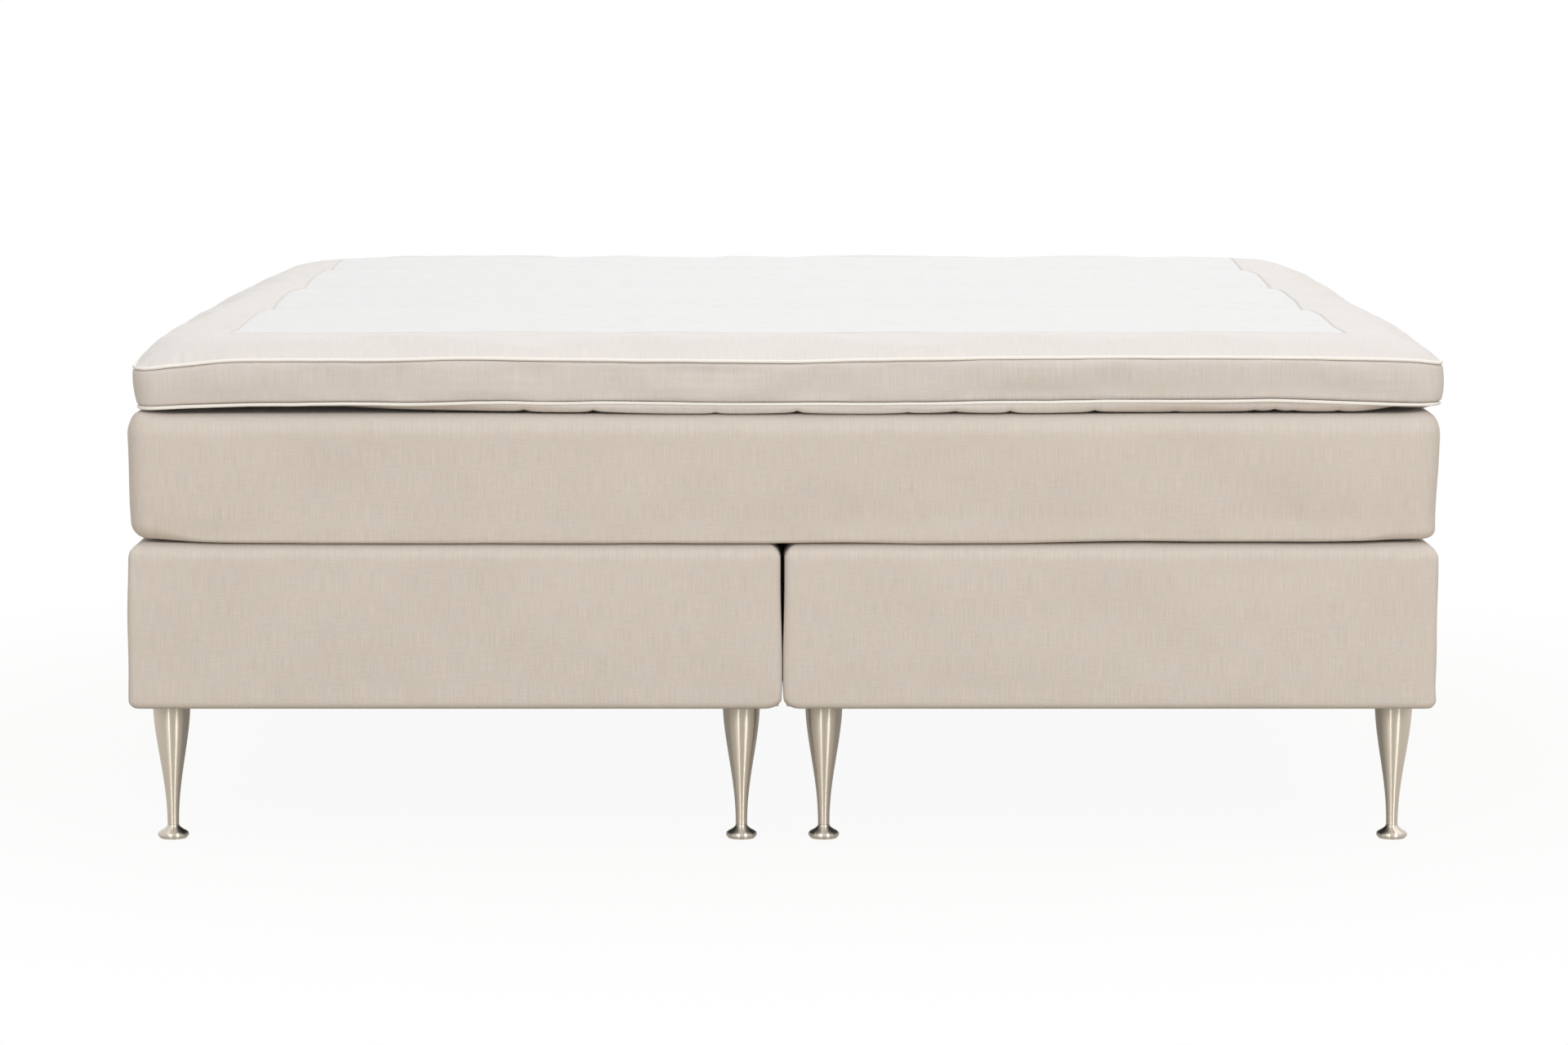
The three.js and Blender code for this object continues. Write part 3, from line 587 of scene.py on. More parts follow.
def satin_steel(name, roughness, light, dark):
    """Turned steel: fine rings round it spread each reflection up and down its length."""
    s = Shader(name)
    rings = s.noise(s.mapped((60, 60, 9000), "object"), 2.0, 0.6)
    marks = s.noise(s.mapped((500, 500, 2500), "object"), 3.0, 0.6)
    rough = s.math("MULTIPLY_ADD", rings, 0.06, roughness - 0.03)
    return s.finish(Base_Color=s.ramp(marks, (0.3, *dark), (0.7, *light)), Metallic=1.0, Roughness=rough,
                    Anisotropic=1.0, Anisotropic_Rotation=0.25, Normal=s.bump(rings, 0.00001, 0.25))


def plain(name, scale, fibres, stops, roughness, relief=None, metal=0.0):
    """A stuff with one texture, of fibres or else of cells, which shows in its colour and its relief."""
    s = Shader(name)
    vector = s.mapped(scale, "object")
    texture = s.noise(vector, *fibres) if fibres else s.voronoi(vector)
    if relief:
        s.finish(Normal=s.bump(texture, *relief))
    return s.finish(Base_Color=s.ramp(texture, *stops), Roughness=roughness, Metallic=metal)


def softwood():
    """Planed pine with grain along its length."""
    s = Shader("softwood")
    grain = s.noise(s.mapped((60, 6, 90), "object"), 4.0, 0.6, 1.2)
    rings = s.math("SINE", s.math("MULTIPLY", grain, 34.0))
    tone = s.math("ADD", s.math("MULTIPLY", rings, 0.16), grain)
    color = s.ramp(tone, (0.25, 190, 150, 100), (0.55, 220, 188, 140), (0.8, 232, 206, 164))
    return s.finish(Base_Color=color, Roughness=0.62, Normal=s.bump(grain, 0.0004, 0.4))


BEIGE = woven("beige_weave", (210, 200, 189.5), (209, 200, 192))
# Lighter copy of the beige weave, for the topper's band and underside: painted light, for a band that
# faces a little downwards and would otherwise render darker than the mattress
BAND_LIT_BEIGE = woven("band_weave_painted_light", (214, 204, 196), (213, 206, 201))
# Paler, greyer, lower-contrast copy of the beige weave for the top border: painted top light and painted
# sheen, for the same cloth lit more from above and whitened at a grazing view
TOP_LIT_SHEEN_BEIGE = woven("top_weave_painted_sheen", (222, 216, 211), (220, 215, 211), contrast=0.6)
WHITE = white_knit()
PIPING = piping_cloth()
LINING = dark_lining()
# Both steels have a warm beige tint over the steel's own grey: painted reflection, standing in for warm
# surroundings mirrored in the legs
LEG_STEEL_WARM_REFLECTION = satin_steel("leg_steel", 0.37, (218, 208, 193), (208, 197, 181))
FOOT_STEEL_WARM_REFLECTION = satin_steel("foot_steel", 0.33, (220, 212, 200), (210, 201, 188))
PINE = softwood()
ZINC = plain("zinc_steel", (260,) * 3, None,
             ((0.0, 150, 152, 152), (0.8, 184, 185, 184)), 0.38, metal=1.0)
FOAM = plain("open_foam", (900,) * 3, None,
             ((0.1, 208, 200, 170), (0.7, 236, 230, 206)), 0.95, (0.0006, 0.7))
FELT = plain("grey_felt", (700, 300, 500), (5.0, 0.75, 2.0),
             ((0.25, 120, 118, 114), (0.5, 156, 154, 149), (0.75, 186, 184, 180)), 0.97, (0.0008, 0.8))
SPRING_CLOTH = plain("spring_cloth", (300,) * 3, (4.0, 0.7, 1.0),
                     ((0.25, 206, 206, 200), (0.75, 228, 228, 222)), 0.85, (0.0003, 0.6))


def dress(piece, material, body, slot, *nodes):
    """Gives a piece its material and its body, and hides the solids that it stands for. Its slot is not
    used.
    """
    piece.data.materials.append(material)
    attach(piece, body)
    if nodes:
        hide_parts(*nodes)
    return piece


# Linings


def grid_sheet(name, x, y, heights, thickness, material, body, slot, *nodes):
    """A thin sheet over a grid of x and y, thickened below the given heights if that is negative."""
    rows, columns = len(y), len(x)
    points = [(x[column], y[row], heights[row, column])
              for row in range(rows) for column in range(columns)]
    faces = [(a, a + 1, a + columns + 1, a + columns)
             for row in range(rows - 1) for a in range(row * columns, (row + 1) * columns - 1)]
    uvs = [points[corner][:2] for corners in faces for corner in corners]
    piece = mesh_object(name, points, faces, uvs)
    solid = piece.modifiers.new("thickness", "SOLIDIFY")
    solid.thickness = abs(thickness)
    solid.offset = -1 if thickness < 0 else 1
    solid.use_rim = True
    return dress(piece, material, body, slot, *nodes)


def lining(name, node, body, counts, relief, thickness):
    """Lining stretched under a cover. relief gives its height at x, y and a distance from its rim."""
    low, high = corners_of(node)
    x, y = (np.linspace(low[way], high[way], counts[way]) for way in (0, 1))
    grid_y, grid_x = np.meshgrid(y, x, indexing="ij")
    to_side = np.minimum(grid_x - low[0], high[0] - grid_x)
    to_end = np.minimum(grid_y - low[1], high[1] - grid_y)
    heights = low[2] + relief(grid_x, grid_y, np.minimum(to_side, to_end))
    piece = grid_sheet(name, x, y, heights, thickness, LINING, body, "lining", node)
    return piece


def stapled(x, y, to_rim):
    """A base's lining sags a little here and there between its staples."""
    flat = np.stack([x, y, np.zeros_like(x)], axis=-1)
    return 0.0004 + 0.0006 * undulation(flat, 0.12, 31) * smooth(0.0, 0.06, to_rim)


def pocketed(x, y, to_rim):
    """The mattress's lining shows the springs above it."""
    pocket = np.cos(x * 2 * math.pi / SPRING_PITCH) * np.cos(y * 2 * math.pi / SPRING_PITCH)
    return 0.0006 + 0.0004 * pocket * smooth(0.0, 0.04, to_rim)


SPRING_PITCH = 0.075
BASE_LINING_COUNTS = (63, 141)
BASE_LINING_THICKNESS = -0.0012
MATTRESS_LINING_COUNTS = (120, 134)
MATTRESS_LINING_THICKNESS = 0.0018


# Bases


def base_cover(side, outward):
    """One base's cover: hem, bottom edge, wall with a slight lean, rolled top edge and flat top."""
    low, high = corners_of(f"{side}_cover")
    plan = Plan(low, high, BASE_CORNER, COLUMN_STEP, 6)
    bottom, top = low[2], high[2]
    edge, roll = BASE_BOTTOM_ROUND, BASE_TOP_ROUND
    lower = quarter(edge, bottom + edge, edge, edge, -math.pi / 2, 6)
    upper = quarter(BASE_LEAN + roll, top - roll, roll, roll, 0, 10)
    lined = [(BASE_LEAN + roll, top - COVER_THICKNESS), (COVER_THICKNESS + BASE_LEAN, top - roll),
             (COVER_THICKNESS, bottom + COVER_THICKNESS), (BASE_HEM, bottom + COVER_THICKNESS)]
    grid = plan.loops([*lined, (BASE_HEM, bottom), *lower, *wall(lower[-1], upper[0], 24), *upper,
                       *((inset, top) for inset in BASE_FLAT_INSETS)])
    outer = grid[len(lined):]
    flat = outer[..., :2] - plan.middle
    height = outer[..., 2]
    to_inner = plan.half[0] + outward * flat[..., 0]
    to_outer = plan.half[0] - outward * flat[..., 0]
    to_end = plan.half[1] - np.abs(flat[..., 1])
    near_end = 1 - smooth(0.0, 0.045, to_end)
    # the walls between the bases swell until they nearly touch, and open a little at the top of each end
    lean = BASE_LEAN * (height - bottom) / (top - bottom)
    opening = BASE_LOW_OPENING + BASE_HIGH_OPENING * smooth(bottom + 0.06, bottom + 0.18, height)
    deep = smooth(0.012, 0.10, to_end)
    half_gap = opening * (1 - deep) + BASE_INSIDE_OPENING * deep
    on_inner = 1 - smooth(0.003, 0.009, to_inner - lean)
    middle_height = smooth(bottom, bottom + 0.03, height) * (1 - smooth(top - 0.019, top - 0.006, height))
    wander = BASE_WANDER * np.sin(outer[..., 1] * 21) * deep
    swollen = -outward * (BASE_SEAM_HALF + lean - half_gap) + wander
    # the bottom edge lifts a little towards each upright edge, most beside the other base
    lift = BASE_INNER_LIFT * bell(to_inner, 0, 0.011) + BASE_OUTER_LIFT * bell(to_outer, 0, 0.008)
    outer[..., 2] += lift * near_end * (1 - smooth(bottom, bottom + 0.05, height))
    outer[..., 0] += swollen * on_inner * middle_height
    # wadding: faint swells, and folds that follow the round of each top corner
    on_wall = smooth(bottom + 0.008, bottom + 0.03, height) * (1 - smooth(top - 0.02, top - 0.004, height))
    seed = 11 if outward < 0 else 12
    swell = BASE_SWELL * undulation(outer, (0.16, 0.16, 0.10), seed)
    swell += BASE_DENT * undulation(outer, (0.05, 0.05, 0.09), seed + 2)
    fold_centre = roll + BASE_FOLD_SETBACK
    for to_side in (to_inner, to_outer):
        past, above = to_side - fold_centre, height - (top - fold_centre)
        reach = np.hypot(np.minimum(past, 0), np.maximum(above, 0))
        round_part = smooth(-0.03, -0.005, -past) * smooth(-0.05, 0.0, above)
        folds = bell(reach, 0.016, 0.0016) + 0.7 * bell(reach, 0.0095, 0.0016)
        swell -= BASE_FOLD * folds * round_part * near_end
    amount = swell * np.maximum(on_wall, 0.4 * smooth(bottom, bottom + 0.01, height))
    amount[:2] = 0
    amount[-3:] = 0
    amount *= smooth(0.002, 0.02, to_inner)
    outer[:] = pushed(outer, amount)
    outer[..., 0] += outward * OUTER_WALL_SWELL * (to_inner / (2 * plan.half[0]))
    level_rows = len(BASE_FLAT_INSETS) + 1
    ease = settled(outer, (2, level_rows), WALL_GROWTH)
    outer += ease * smooth(0.02, 0.07, to_inner)[..., None]
    piece = skin(f"{side}_base_upholstery", grid, plan.along, level_rows=level_rows,
                 caps=(top - COVER_THICKNESS, top))
    return dress(piece, BEIGE, "bases", "base_fabric", f"{side}_cover")


for side, outward in (("left", -1), ("right", 1)):
    base_cover(side, outward)
    lining(f"{side}_base_lining", f"{side}_dust_cover", "bases",
           BASE_LINING_COUNTS, stapled, BASE_LINING_THICKNESS)


# Mattress


def mattress_pairs(bottom, top, bottom_edge, top_edge):
    """The section of the mattress cover, with the reach and rise of its bottom and top edges."""
    reach, rise = bottom_edge
    lower = quarter(MATTRESS_TAPER + reach, bottom + rise, reach, rise, -math.pi / 2, 10)
    reach, rise = top_edge
    upper = quarter(reach, top - rise, reach, rise, 0, 10)
    hem_top = bottom + COVER_THICKNESS
    return [(SOFT_TOP[0], top - 2 * COVER_THICKNESS), (COVER_THICKNESS, top - SOFT_TOP[1]),
            (COVER_THICKNESS + MATTRESS_TAPER, bottom + SOFT_BOTTOM[1]),
            (MATTRESS_TAPER + SOFT_BOTTOM[0], hem_top), (MATTRESS_HEM, hem_top),
            (MATTRESS_HEM, bottom), (MATTRESS_LEVEL_RIM, bottom), *lower,
            *wall(lower[-1], upper[0], 22), *upper, *((inset, top) for inset in MATTRESS_FLAT_INSETS)]


def mattress_cover():
    """Mattress cover: turned-under hem, faint dents and a crisp bottom edge, rounder at the corners."""
    low, high = corners_of("mattress_cover")
    plan = Plan(low, high, MATTRESS_CORNER, COLUMN_STEP, 8)
    bottom, top = low[2], high[2]
    rim = plan.outline(0.0)
    rim_to_side, rim_to_end = (plan.half - np.abs(rim)).T
    from_corner = np.maximum(rim_to_side, rim_to_end)
    crisp = np.maximum(smooth(0.015, 0.11, from_corner), np.where(rim[:, 0] > 0, 0.6, 0.0))
    soft = plan.loops(mattress_pairs(bottom, top, SOFT_BOTTOM, SOFT_TOP))
    tight = plan.loops(mattress_pairs(bottom, top, CRISP_BOTTOM, SOFT_TOP))
    firm = plan.loops(mattress_pairs(bottom, top, SOFT_BOTTOM, END_TOP))
    at_ends = smooth(0.035, 0.16, rim_to_side)
    grid = soft + (tight - soft) * crisp[None, :, None] + (firm - soft) * at_ends[None, :, None]
    outer = grid[MATTRESS_INNER_ROWS:]
    flat = outer[..., :2] - plan.middle
    height = outer[..., 2].copy()
    near_bottom = 1 - smooth(bottom, bottom + 0.06, height)
    to_side = plan.half[0] - np.abs(flat[..., 0])
    to_end = plan.half[1] - np.abs(flat[..., 1])
    at_corner = (1 - smooth(0.0, 0.20, to_side)) * (1 - smooth(0.0, 0.20, to_end))
    edge_lift = MATTRESS_CORNER_LIFT * at_corner ** 1.5
    edge_lift += MATTRESS_EDGE_WAVE * np.maximum(undulation(outer, 0.22, 41), 0)
    right_end = smooth(0.22, 0.60, flat[..., 0]) * (1 - smooth(0.0, 0.2, to_end))
    edge_lift += MATTRESS_RIGHT_LIFT * right_end * (1 - at_corner)
    rim_only = 1 - smooth(0.028, 0.055, np.minimum(to_side, to_end))
    outer[..., 2] += edge_lift * near_bottom * rim_only
    # the topper presses the top's front edge down
    pressed = smooth(top - 0.034, top - 0.004, height) * smooth(0.0, 0.07, to_side)
    outer[..., 2] -= FOOT_TOP_PRESS * pressed * (1 - smooth(0.06, 0.15, flat[..., 1] + plan.half[1]))
    on_wall = smooth(bottom + 0.004, bottom + 0.04, height) * (1 - smooth(top - 0.015, top, height))
    swell = MATTRESS_SWELL * undulation(outer, (0.20, 0.20, 0.12), 42)
    swell += MATTRESS_DENT * undulation(outer, (0.06, 0.06, 0.10), 43)
    up = np.clip((height - bottom) / (top - bottom), 0, 1)
    swell += MATTRESS_BULGE * (np.sin(math.pi * up) - 1)
    amount = swell * on_wall
    amount[:3] = 0
    outer[:] = pushed(outer, amount)
    outer[..., 0] += (MATTRESS_SIDE_SWELL * flat[..., 0] + MATTRESS_SHIFT * plan.half[0]) / plan.half[0]
    level_rows = len(MATTRESS_FLAT_INSETS) + 1
    outer += settled(outer, (3, level_rows), WALL_GROWTH)
    piece = skin("mattress_upholstery", grid, plan.along, level_rows=level_rows,
                 caps=(top - COVER_THICKNESS, top))
    return dress(piece, BEIGE, "mattress", "mattress_fabric", "mattress_cover")


mattress_cover()
lining("mattress_lining", "mattress_underside", "mattress",
       MATTRESS_LINING_COUNTS, pocketed, MATTRESS_LINING_THICKNESS)


# Topper


TOPPER_BOTTOM = corners_of("topper_underside")[0][2]
UPPER_HEIGHT = TOPPER_BOTTOM + UPPER_SEAM
LOWER_HEIGHT = TOPPER_BOTTOM + LOWER_SEAM
upper_low, upper_high = corners_of("topper_upper_piping")
piping_stands_out = PIPING_RADIUS - PIPING_INSET
spread = np.array([TOPPER_SPREAD, 0, 0])
TOPPER = Plan(upper_low + piping_stands_out - spread, upper_high - piping_stands_out + spread,
              TOPPER_CORNER, TOPPER_COLUMN_STEP, 8, LEAST_CORNER)
HALF_X, HALF_Y = TOPPER.half
RIM = TOPPER.outline(0.0)
RIM_X, RIM_Y = RIM[:, 0], RIM[:, 1]
ALONG_RIM = TOPPER.along[:-1]


def along_foot(x, seam):
    """Height of a seam of the foot end at x, on a smooth line through its places."""
    places, heights = np.array(seam).T
    asides = np.linspace(-0.02, 0.02, 9)
    return np.mean([np.interp(x + aside, places, heights) for aside in asides], axis=0)


def seam_rise(x, y, wave_share, droops, foot_seam):
    """How far a seam rises above its level. It arches on the left side and droops at the corners."""
    towards_side = (np.abs(x) / HALF_X) ** CORNER_POWER
    towards_end = (np.abs(y) / HALF_Y) ** CORNER_POWER
    wave_x = np.cos((x - SEAM_WAVE_START) / SEAM_WAVE_LENGTH * 2 * math.pi)
    wave_y = np.cos((y - SEAM_WAVE_START) / SEAM_WAVE_LENGTH * 2 * math.pi)
    on_left = x < 0
    arch = LEFT_ARCH * ((y - LEFT_ARCH_TOP) / HALF_Y) ** 2
    along_side = np.where(on_left, arch - LEFT_LIFT, SEAM_WAVE * wave_y - RIGHT_LIFT)
    corner = np.where(on_left, *droops) + wave_share * along_side
    at_head = -wave_share * SEAM_WAVE * wave_x * (1 - towards_side) - corner * towards_side
    at_end = np.where(y < 0, along_foot(x, foot_seam), at_head)
    return at_end * towards_end - wave_share * along_side * towards_side * (1 - towards_end)


def small_wave(x, y, seed):
    """Small rises and falls of a seam where it has been pulled."""
    points = np.stack([x, y, np.zeros_like(x)], axis=-1)
    calm = 1 - 0.6 * smooth(0.02, 0.12, np.abs(x) - HALF_X - np.abs(y) + HALF_Y)
    calm *= 0.35 + 0.65 * smooth(0.03, 0.15, y + HALF_Y)
    return (0.0008 * undulation(points, 0.11, seed) + 0.0004 * undulation(points, 0.045, seed + 1)) * calm


def upper_seam(x, y, _=None):
    return UPPER_HEIGHT + seam_rise(x, y, 1, UPPER_DROOPS, FOOT_UPPER_SEAM) + small_wave(x, y, 61)


def lower_seam(x, y, _=None):
    rise = seam_rise(x, y, LOWER_WAVE_SHARE, LOWER_DROOPS, FOOT_LOWER_SEAM)
    return LOWER_HEIGHT + rise + small_wave(x, y, 63)


def way_in(x, y):
    """Distance in from the topper's rim, with its corners rounded off."""
    to_side, to_end = HALF_X - np.abs(x), HALF_Y - np.abs(y)
    nearer = np.minimum(to_side, to_end)
    rounding = CORNER_ROUNDING + 0.25 * np.clip(nearer, 0, None)
    return np.clip(nearer - rounding * np.log1p(np.exp(-np.abs(to_side - to_end) / rounding)), 0, None)


def top_face(x, y, _):
    """The upper face: it swells from the seam to a level crown, with soft channels across the panel."""
    inset = way_in(x, y)
    inward = np.clip(inset / CROWN_WIDTH, 0, 1)
    edge = upper_seam(x, y) * (1 - inward) + UPPER_HEIGHT * inward
    crown = TOPPER_CROWN * (1 - (1 - inward) ** CROWN_POWER)
    along_side = smooth(0.03, 0.12, np.abs(x) - HALF_X - np.abs(y) + HALF_Y)
    crown = crown + SIDE_FULLNESS * bell(inset, 0.010, 0.012) * along_side
    past = y + HALF_Y - PUFF_SETBACK
    puff = np.abs(np.sin(past / PUFF_PITCH * math.pi)) ** PUFF_POWER
    points = np.stack([x, y, np.zeros_like(x)], axis=-1)
    loose = smooth(0.0, 0.05, inset) * (1 - 0.4 * smooth(0.15, 0.4, inset))
    hills = 0.0008 * undulation(points, 0.19, 71) + 0.0003 * undulation(points, 0.07, 72)
    channel = PUFF_DEPTH * smooth(PUFF_START, PANEL_BORDER, inset)
    channel = channel * (1 + PUFF_AT_SEAM * bell(inset, PANEL_BORDER, 0.09))
    channel = channel * (1 - 0.75 * bell(past, -0.05, 0.13))
    return edge + crown - channel * (1 - puff) + hills * loose


def gathers(inset):
    """Short furrows square to the upper seam near each corner, and faint ones elsewhere."""
    to_side, to_end = HALF_X - np.abs(RIM_X), HALF_Y - np.abs(RIM_Y)
    strength = 0.07 + 0.93 * (1 - smooth(0.05, 0.19, np.hypot(to_side, to_end)))
    turns = ALONG_RIM * 2 * math.pi
    furrow = np.clip(np.sin(turns / 0.021 + 2.2 * np.sin(turns / 0.13)), -0.3, 1)
    fade = np.exp(-((inset / 0.024) ** 1.4)) * smooth(0.0, 0.006, inset)
    tight = 1 - smooth(TOPPER_CORNER * 0.9, TOPPER_CORNER * 1.6, np.maximum(to_side, to_end))
    room = 1 - tight * smooth(0.006, TOPPER_CORNER * 0.8, inset)
    return -GATHER_DEPTH * strength * furrow * (0.6 + 0.4 * np.sin(turns / 0.057)) * fade * room


def pinch_at_rim():
    """How much the underside is pinched at each point of the rim, from 0 to 1."""
    pinch = np.zeros(len(RIM))
    x = RIM_X + TOPPER.middle[0]
    at_foot = RIM_Y < -HALF_Y + 0.002
    for place, strength in FOOT_PINCHES:
        pinch = np.maximum(pinch, np.where(at_foot, strength * np.exp(-np.abs(x - place) / 0.0055), 0))
    draw = np.random.default_rng(81)
    place = 0.06
    while place < TOPPER.along[-1]:
        here = draw.uniform(0.3, 1.0) * bell(ALONG_RIM, place, 0.0065)
        pinch = np.maximum(pinch, np.where(at_foot, 0, here))
        place += draw.uniform(0.05, 0.19)
    return pinch


def belly_fullness():
    """How far the underside bulges below the lower piping: least at the foot end's left."""
    x = RIM_X + TOPPER.middle[0]
    full = 0.55 + 0.3 * undulation(np.column_stack([RIM, np.zeros(len(RIM))]), 0.6, 82)
    foot = 0.94 * smooth(-1.0, -0.15, x) * (1 - 0.18 * smooth(0.25, 0.6, x)) * (1 - smooth(0.78, 0.90, x))
    at_foot = 1 - smooth(-HALF_Y, -HALF_Y + 0.05, RIM_Y)
    return np.clip(full, 0.1, 1) * (1 - at_foot) + foot * at_foot


def topper_border():
    """Top border: cloth from the upper piping in to the panel's seam."""
    insets = [0.0022, 0.004, 0.006, *np.linspace(0.009, 0.05, 9), *np.linspace(0.058, PANEL_BORDER, 9)]
    above = np.array([TOPPER.loop(inset, top_face) for inset in insets])
    above[..., 2] += np.array([gathers(inset) for inset in insets])
    above[0, :, 2] -= 0.0012
    x, y = np.abs(above[..., 0] - TOPPER.middle[0]), np.abs(above[..., 1] - TOPPER.middle[1])
    off_mitre = np.abs(HALF_X - x - HALF_Y + y)
    above += settled(above, (1, 2), BORDER_GROWTH) * smooth(0.03, 0.14, off_mitre)[..., None]
    under = [TOPPER.loop(i, lambda x, y, inset: top_face(x, y, inset) - TOPPER_FABRIC - 0.001)
             for i in (PANEL_BORDER, 0.05, 0.006)]
    grid = np.concatenate([under, above])
    piece = skin("topper_border", grid, TOPPER.along, ring=True, level_rows=len(above))
    return dress(piece, TOP_LIT_SHEEN_BEIGE, "topper", "topper_fabric", "topper_top_border")


def finer_at_rim(half, count):
    """Places from one rim to the other, closer together beside both."""
    edge = np.array([0, 0.002, 0.005, 0.009])
    inside = np.linspace(0.014 - half, half - 0.014, count)
    return np.concatenate([edge - half, inside, (half - edge)[::-1]])


def topper_panel():
    """White centre panel, over the same crown and channels as the border."""
    half_x, half_y = HALF_X - PANEL_BORDER + 0.004, HALF_Y - PANEL_BORDER + 0.004
    x, y = finer_at_rim(half_x, 125), finer_at_rim(half_y, 290)
    grid_y, grid_x = np.meshgrid(y, x, indexing="ij")
    to_rim = np.minimum(half_x - np.abs(grid_x), half_y - np.abs(grid_y))
    heights = top_face(grid_x, grid_y, None) + 0.0012 * smooth(0.0, 0.016, to_rim) - 0.0004
    piece = grid_sheet("topper_panel", x + TOPPER.middle[0], y + TOPPER.middle[1], heights,
                       -0.003, WHITE, "topper", "white_fabric", "topper_centre_panel")
    return piece


def piping(which, inset, seam, shift):
    """A closed tube along a seam, with its cloth mapped along and round it."""
    rim = TOPPER.loop(inset + PIPING_INSET, seam)
    rim[:, 0] += shift
    ahead = np.roll(rim, -1, axis=0) - np.roll(rim, 1, axis=0)
    ahead /= np.linalg.norm(ahead, axis=1)[:, None]
    outward = np.cross(ahead, (0, 0, 1.0))
    outward /= np.linalg.norm(outward, axis=1)[:, None]
    up = np.cross(outward, ahead)
    angles = -np.arange(PIPING_SIDES) / PIPING_SIDES * 2 * math.pi
    grid = np.array([rim - PIPING_RADIUS * (math.cos(a) * outward + math.sin(a) * up) for a in angles])
    piece = skin(f"topper_piping_{which}", grid[::-1], along_loop(rim), ring=True)
    return dress(piece, PIPING, "topper", "piping", f"topper_{which}_piping")


def topper_band():
    """Side band between the pipings, tucked under both and bulging a little."""
    clear = PIPING_RADIUS * 0.9

    def section(share, extra, tuck):
        bulge = BAND_BULGE * math.sin(share * math.pi) ** 0.55

        def height(x, y, _):
            low, high = lower_seam(x, y) + clear, upper_seam(x, y) - clear
            return low + (high - low) * share

        loop = TOPPER.loop(extra + BAND_DRAW_IN * (1 - share) - bulge + tuck, height)
        loop[:, 0] += LOWER_SHIFT * (1 - share)
        return loop

    shares = np.concatenate([[0, 0.02, 0.045, 0.08], np.linspace(0.13, 0.87, 15), [0.92, 0.955, 0.98, 1]])
    tucks = TUCK_DEPTH * (np.exp(-((shares / 0.03) ** 2)) + np.exp(-(((1 - shares) / 0.03) ** 2)))
    outer = np.array([section(share, 0.0, tuck) for share, tuck in zip(shares, tucks)])
    amount = 0.0007 * undulation(outer, (0.10, 0.10, 0.07), 91)
    amount += 0.0003 * undulation(outer, (0.03, 0.03, 0.08), 92)
    middle = (np.sin(shares * math.pi) ** 0.5)[:, None]
    outer = pushed(outer, amount * middle)
    outer += settled(outer, (1, 1), BAND_GROWTH)
    inner = [section(share, TOPPER_FABRIC, 0.002) for share in (1, 0.5, 0)]
    piece = skin("topper_band", np.concatenate([inner, outer]), TOPPER.along, ring=True)
    return dress(piece, BAND_LIT_BEIGE, "topper", "topper_fabric", "topper_side_band")


def inset_outline(inset):
    """The topper's outline with an inset of its own at each point."""
    reach = np.linspace(0, inset.max() + 0.001, 24)
    loops = np.array([TOPPER.outline(i) for i in reach])
    place = inset / reach[1]
    step = np.minimum(place.astype(int), len(reach) - 2)
    share = (place - step)[:, None]
    columns = np.arange(len(inset))
    return loops[step, columns] * (1 - share) + loops[step + 1, columns] * share


def rounded(rows):
    """Twice as many rows, on the smooth line that the given ones outline."""
    before, after = rows[:-1], rows[1:]
    between = np.stack([before * 0.75 + after * 0.25, before * 0.25 + after * 0.75], axis=1)
    return np.concatenate([rows[:1], between.reshape(-1, *rows.shape[1:]), rows[-1:]])


def topper_underside():
    """Underside: it bulges from the lower piping, pinched here and there, and rests flat inside."""
    full, pinch = belly_fullness(), pinch_at_rim()
    seam = lower_seam(RIM_X, RIM_Y) - PIPING_RADIUS * 0.5
    levels, insets = [], []
    for slack_inset, slack_share, full_inset, full_share, rise, moved in UNDERSIDE_ROWS:
        share = slack_share * (1 - full) + full_share * full
        lifted = (rise + PINCH_RISE * pinch * moved) * full
        levels.append(TOPPER_BOTTOM + (seam - TOPPER_BOTTOM) * share + lifted)
        insets.append(slack_inset * (1 - full) + (full_inset + PINCH_DEPTH * pinch * moved) * full)
    levels, insets = rounded(rounded(np.array(levels))), rounded(rounded(np.array(insets)))
    rows = np.array([np.column_stack([inset_outline(inset) + TOPPER.middle, level])
                     for inset, level in zip(insets, levels)])[::-1]
    rows[..., 0] += LOWER_SHIFT * np.linspace(0, 1, len(rows))[:, None]
    middle_rows = [TOPPER.loop(i, TOPPER_BOTTOM) for i in (0.8, 0.5, 0.3, 0.19)]
    inner_level = TOPPER_BOTTOM + TOPPER_FABRIC
    lined = [TOPPER.loop(BAND_DRAW_IN + PIPING_INSET + 0.004, inner_level + 0.008),
             TOPPER.loop(0.05, inner_level), TOPPER.loop(0.5, inner_level)]
    rows += settled(rows, (2, 1), BELLY_GROWTH)
    grid = np.concatenate([middle_rows, rows, lined])
    piece = skin("topper_bottom", grid, TOPPER.along, caps=(TOPPER_BOTTOM, inner_level))
    return dress(piece, BAND_LIT_BEIGE, "topper", "topper_fabric", "topper_underside")


topper_border()
topper_panel()
piping("upper", 0.0, upper_seam, 0.0)
piping("lower", BAND_DRAW_IN, lower_seam, LOWER_SHIFT)
topper_band()
topper_underside()


# Legs


LEG_RADIUS = 0.026
LEG_NECK_RADIUS = 0.0080
LEG_POWER = 1.1
LEG_BREAK = 0.0002
LEG_TOP_BREAK = 0.0006
STUD_BREAK = 0.001
STUD_RADIUS = 0.004
STUD_LENGTH = 0.030
FOOT_RADIUS = 0.0215
FOOT_HEIGHT = 0.0187
FOOT_PROFILE_SHARES = (
    (0.85, 0), (0.886, 0.048), (0.937, 0.112), (0.974, 0.171), (0.998, 0.235), (1, 0.30),
    (0.979, 0.39), (0.942, 0.449), (0.872, 0.513), (0.779, 0.572), (0.677, 0.636), (0.598, 0.695),
    (0.523, 0.759), (0.467, 0.824), (0.421, 0.882), (0.393, 0.947), (0.372, 1),
)


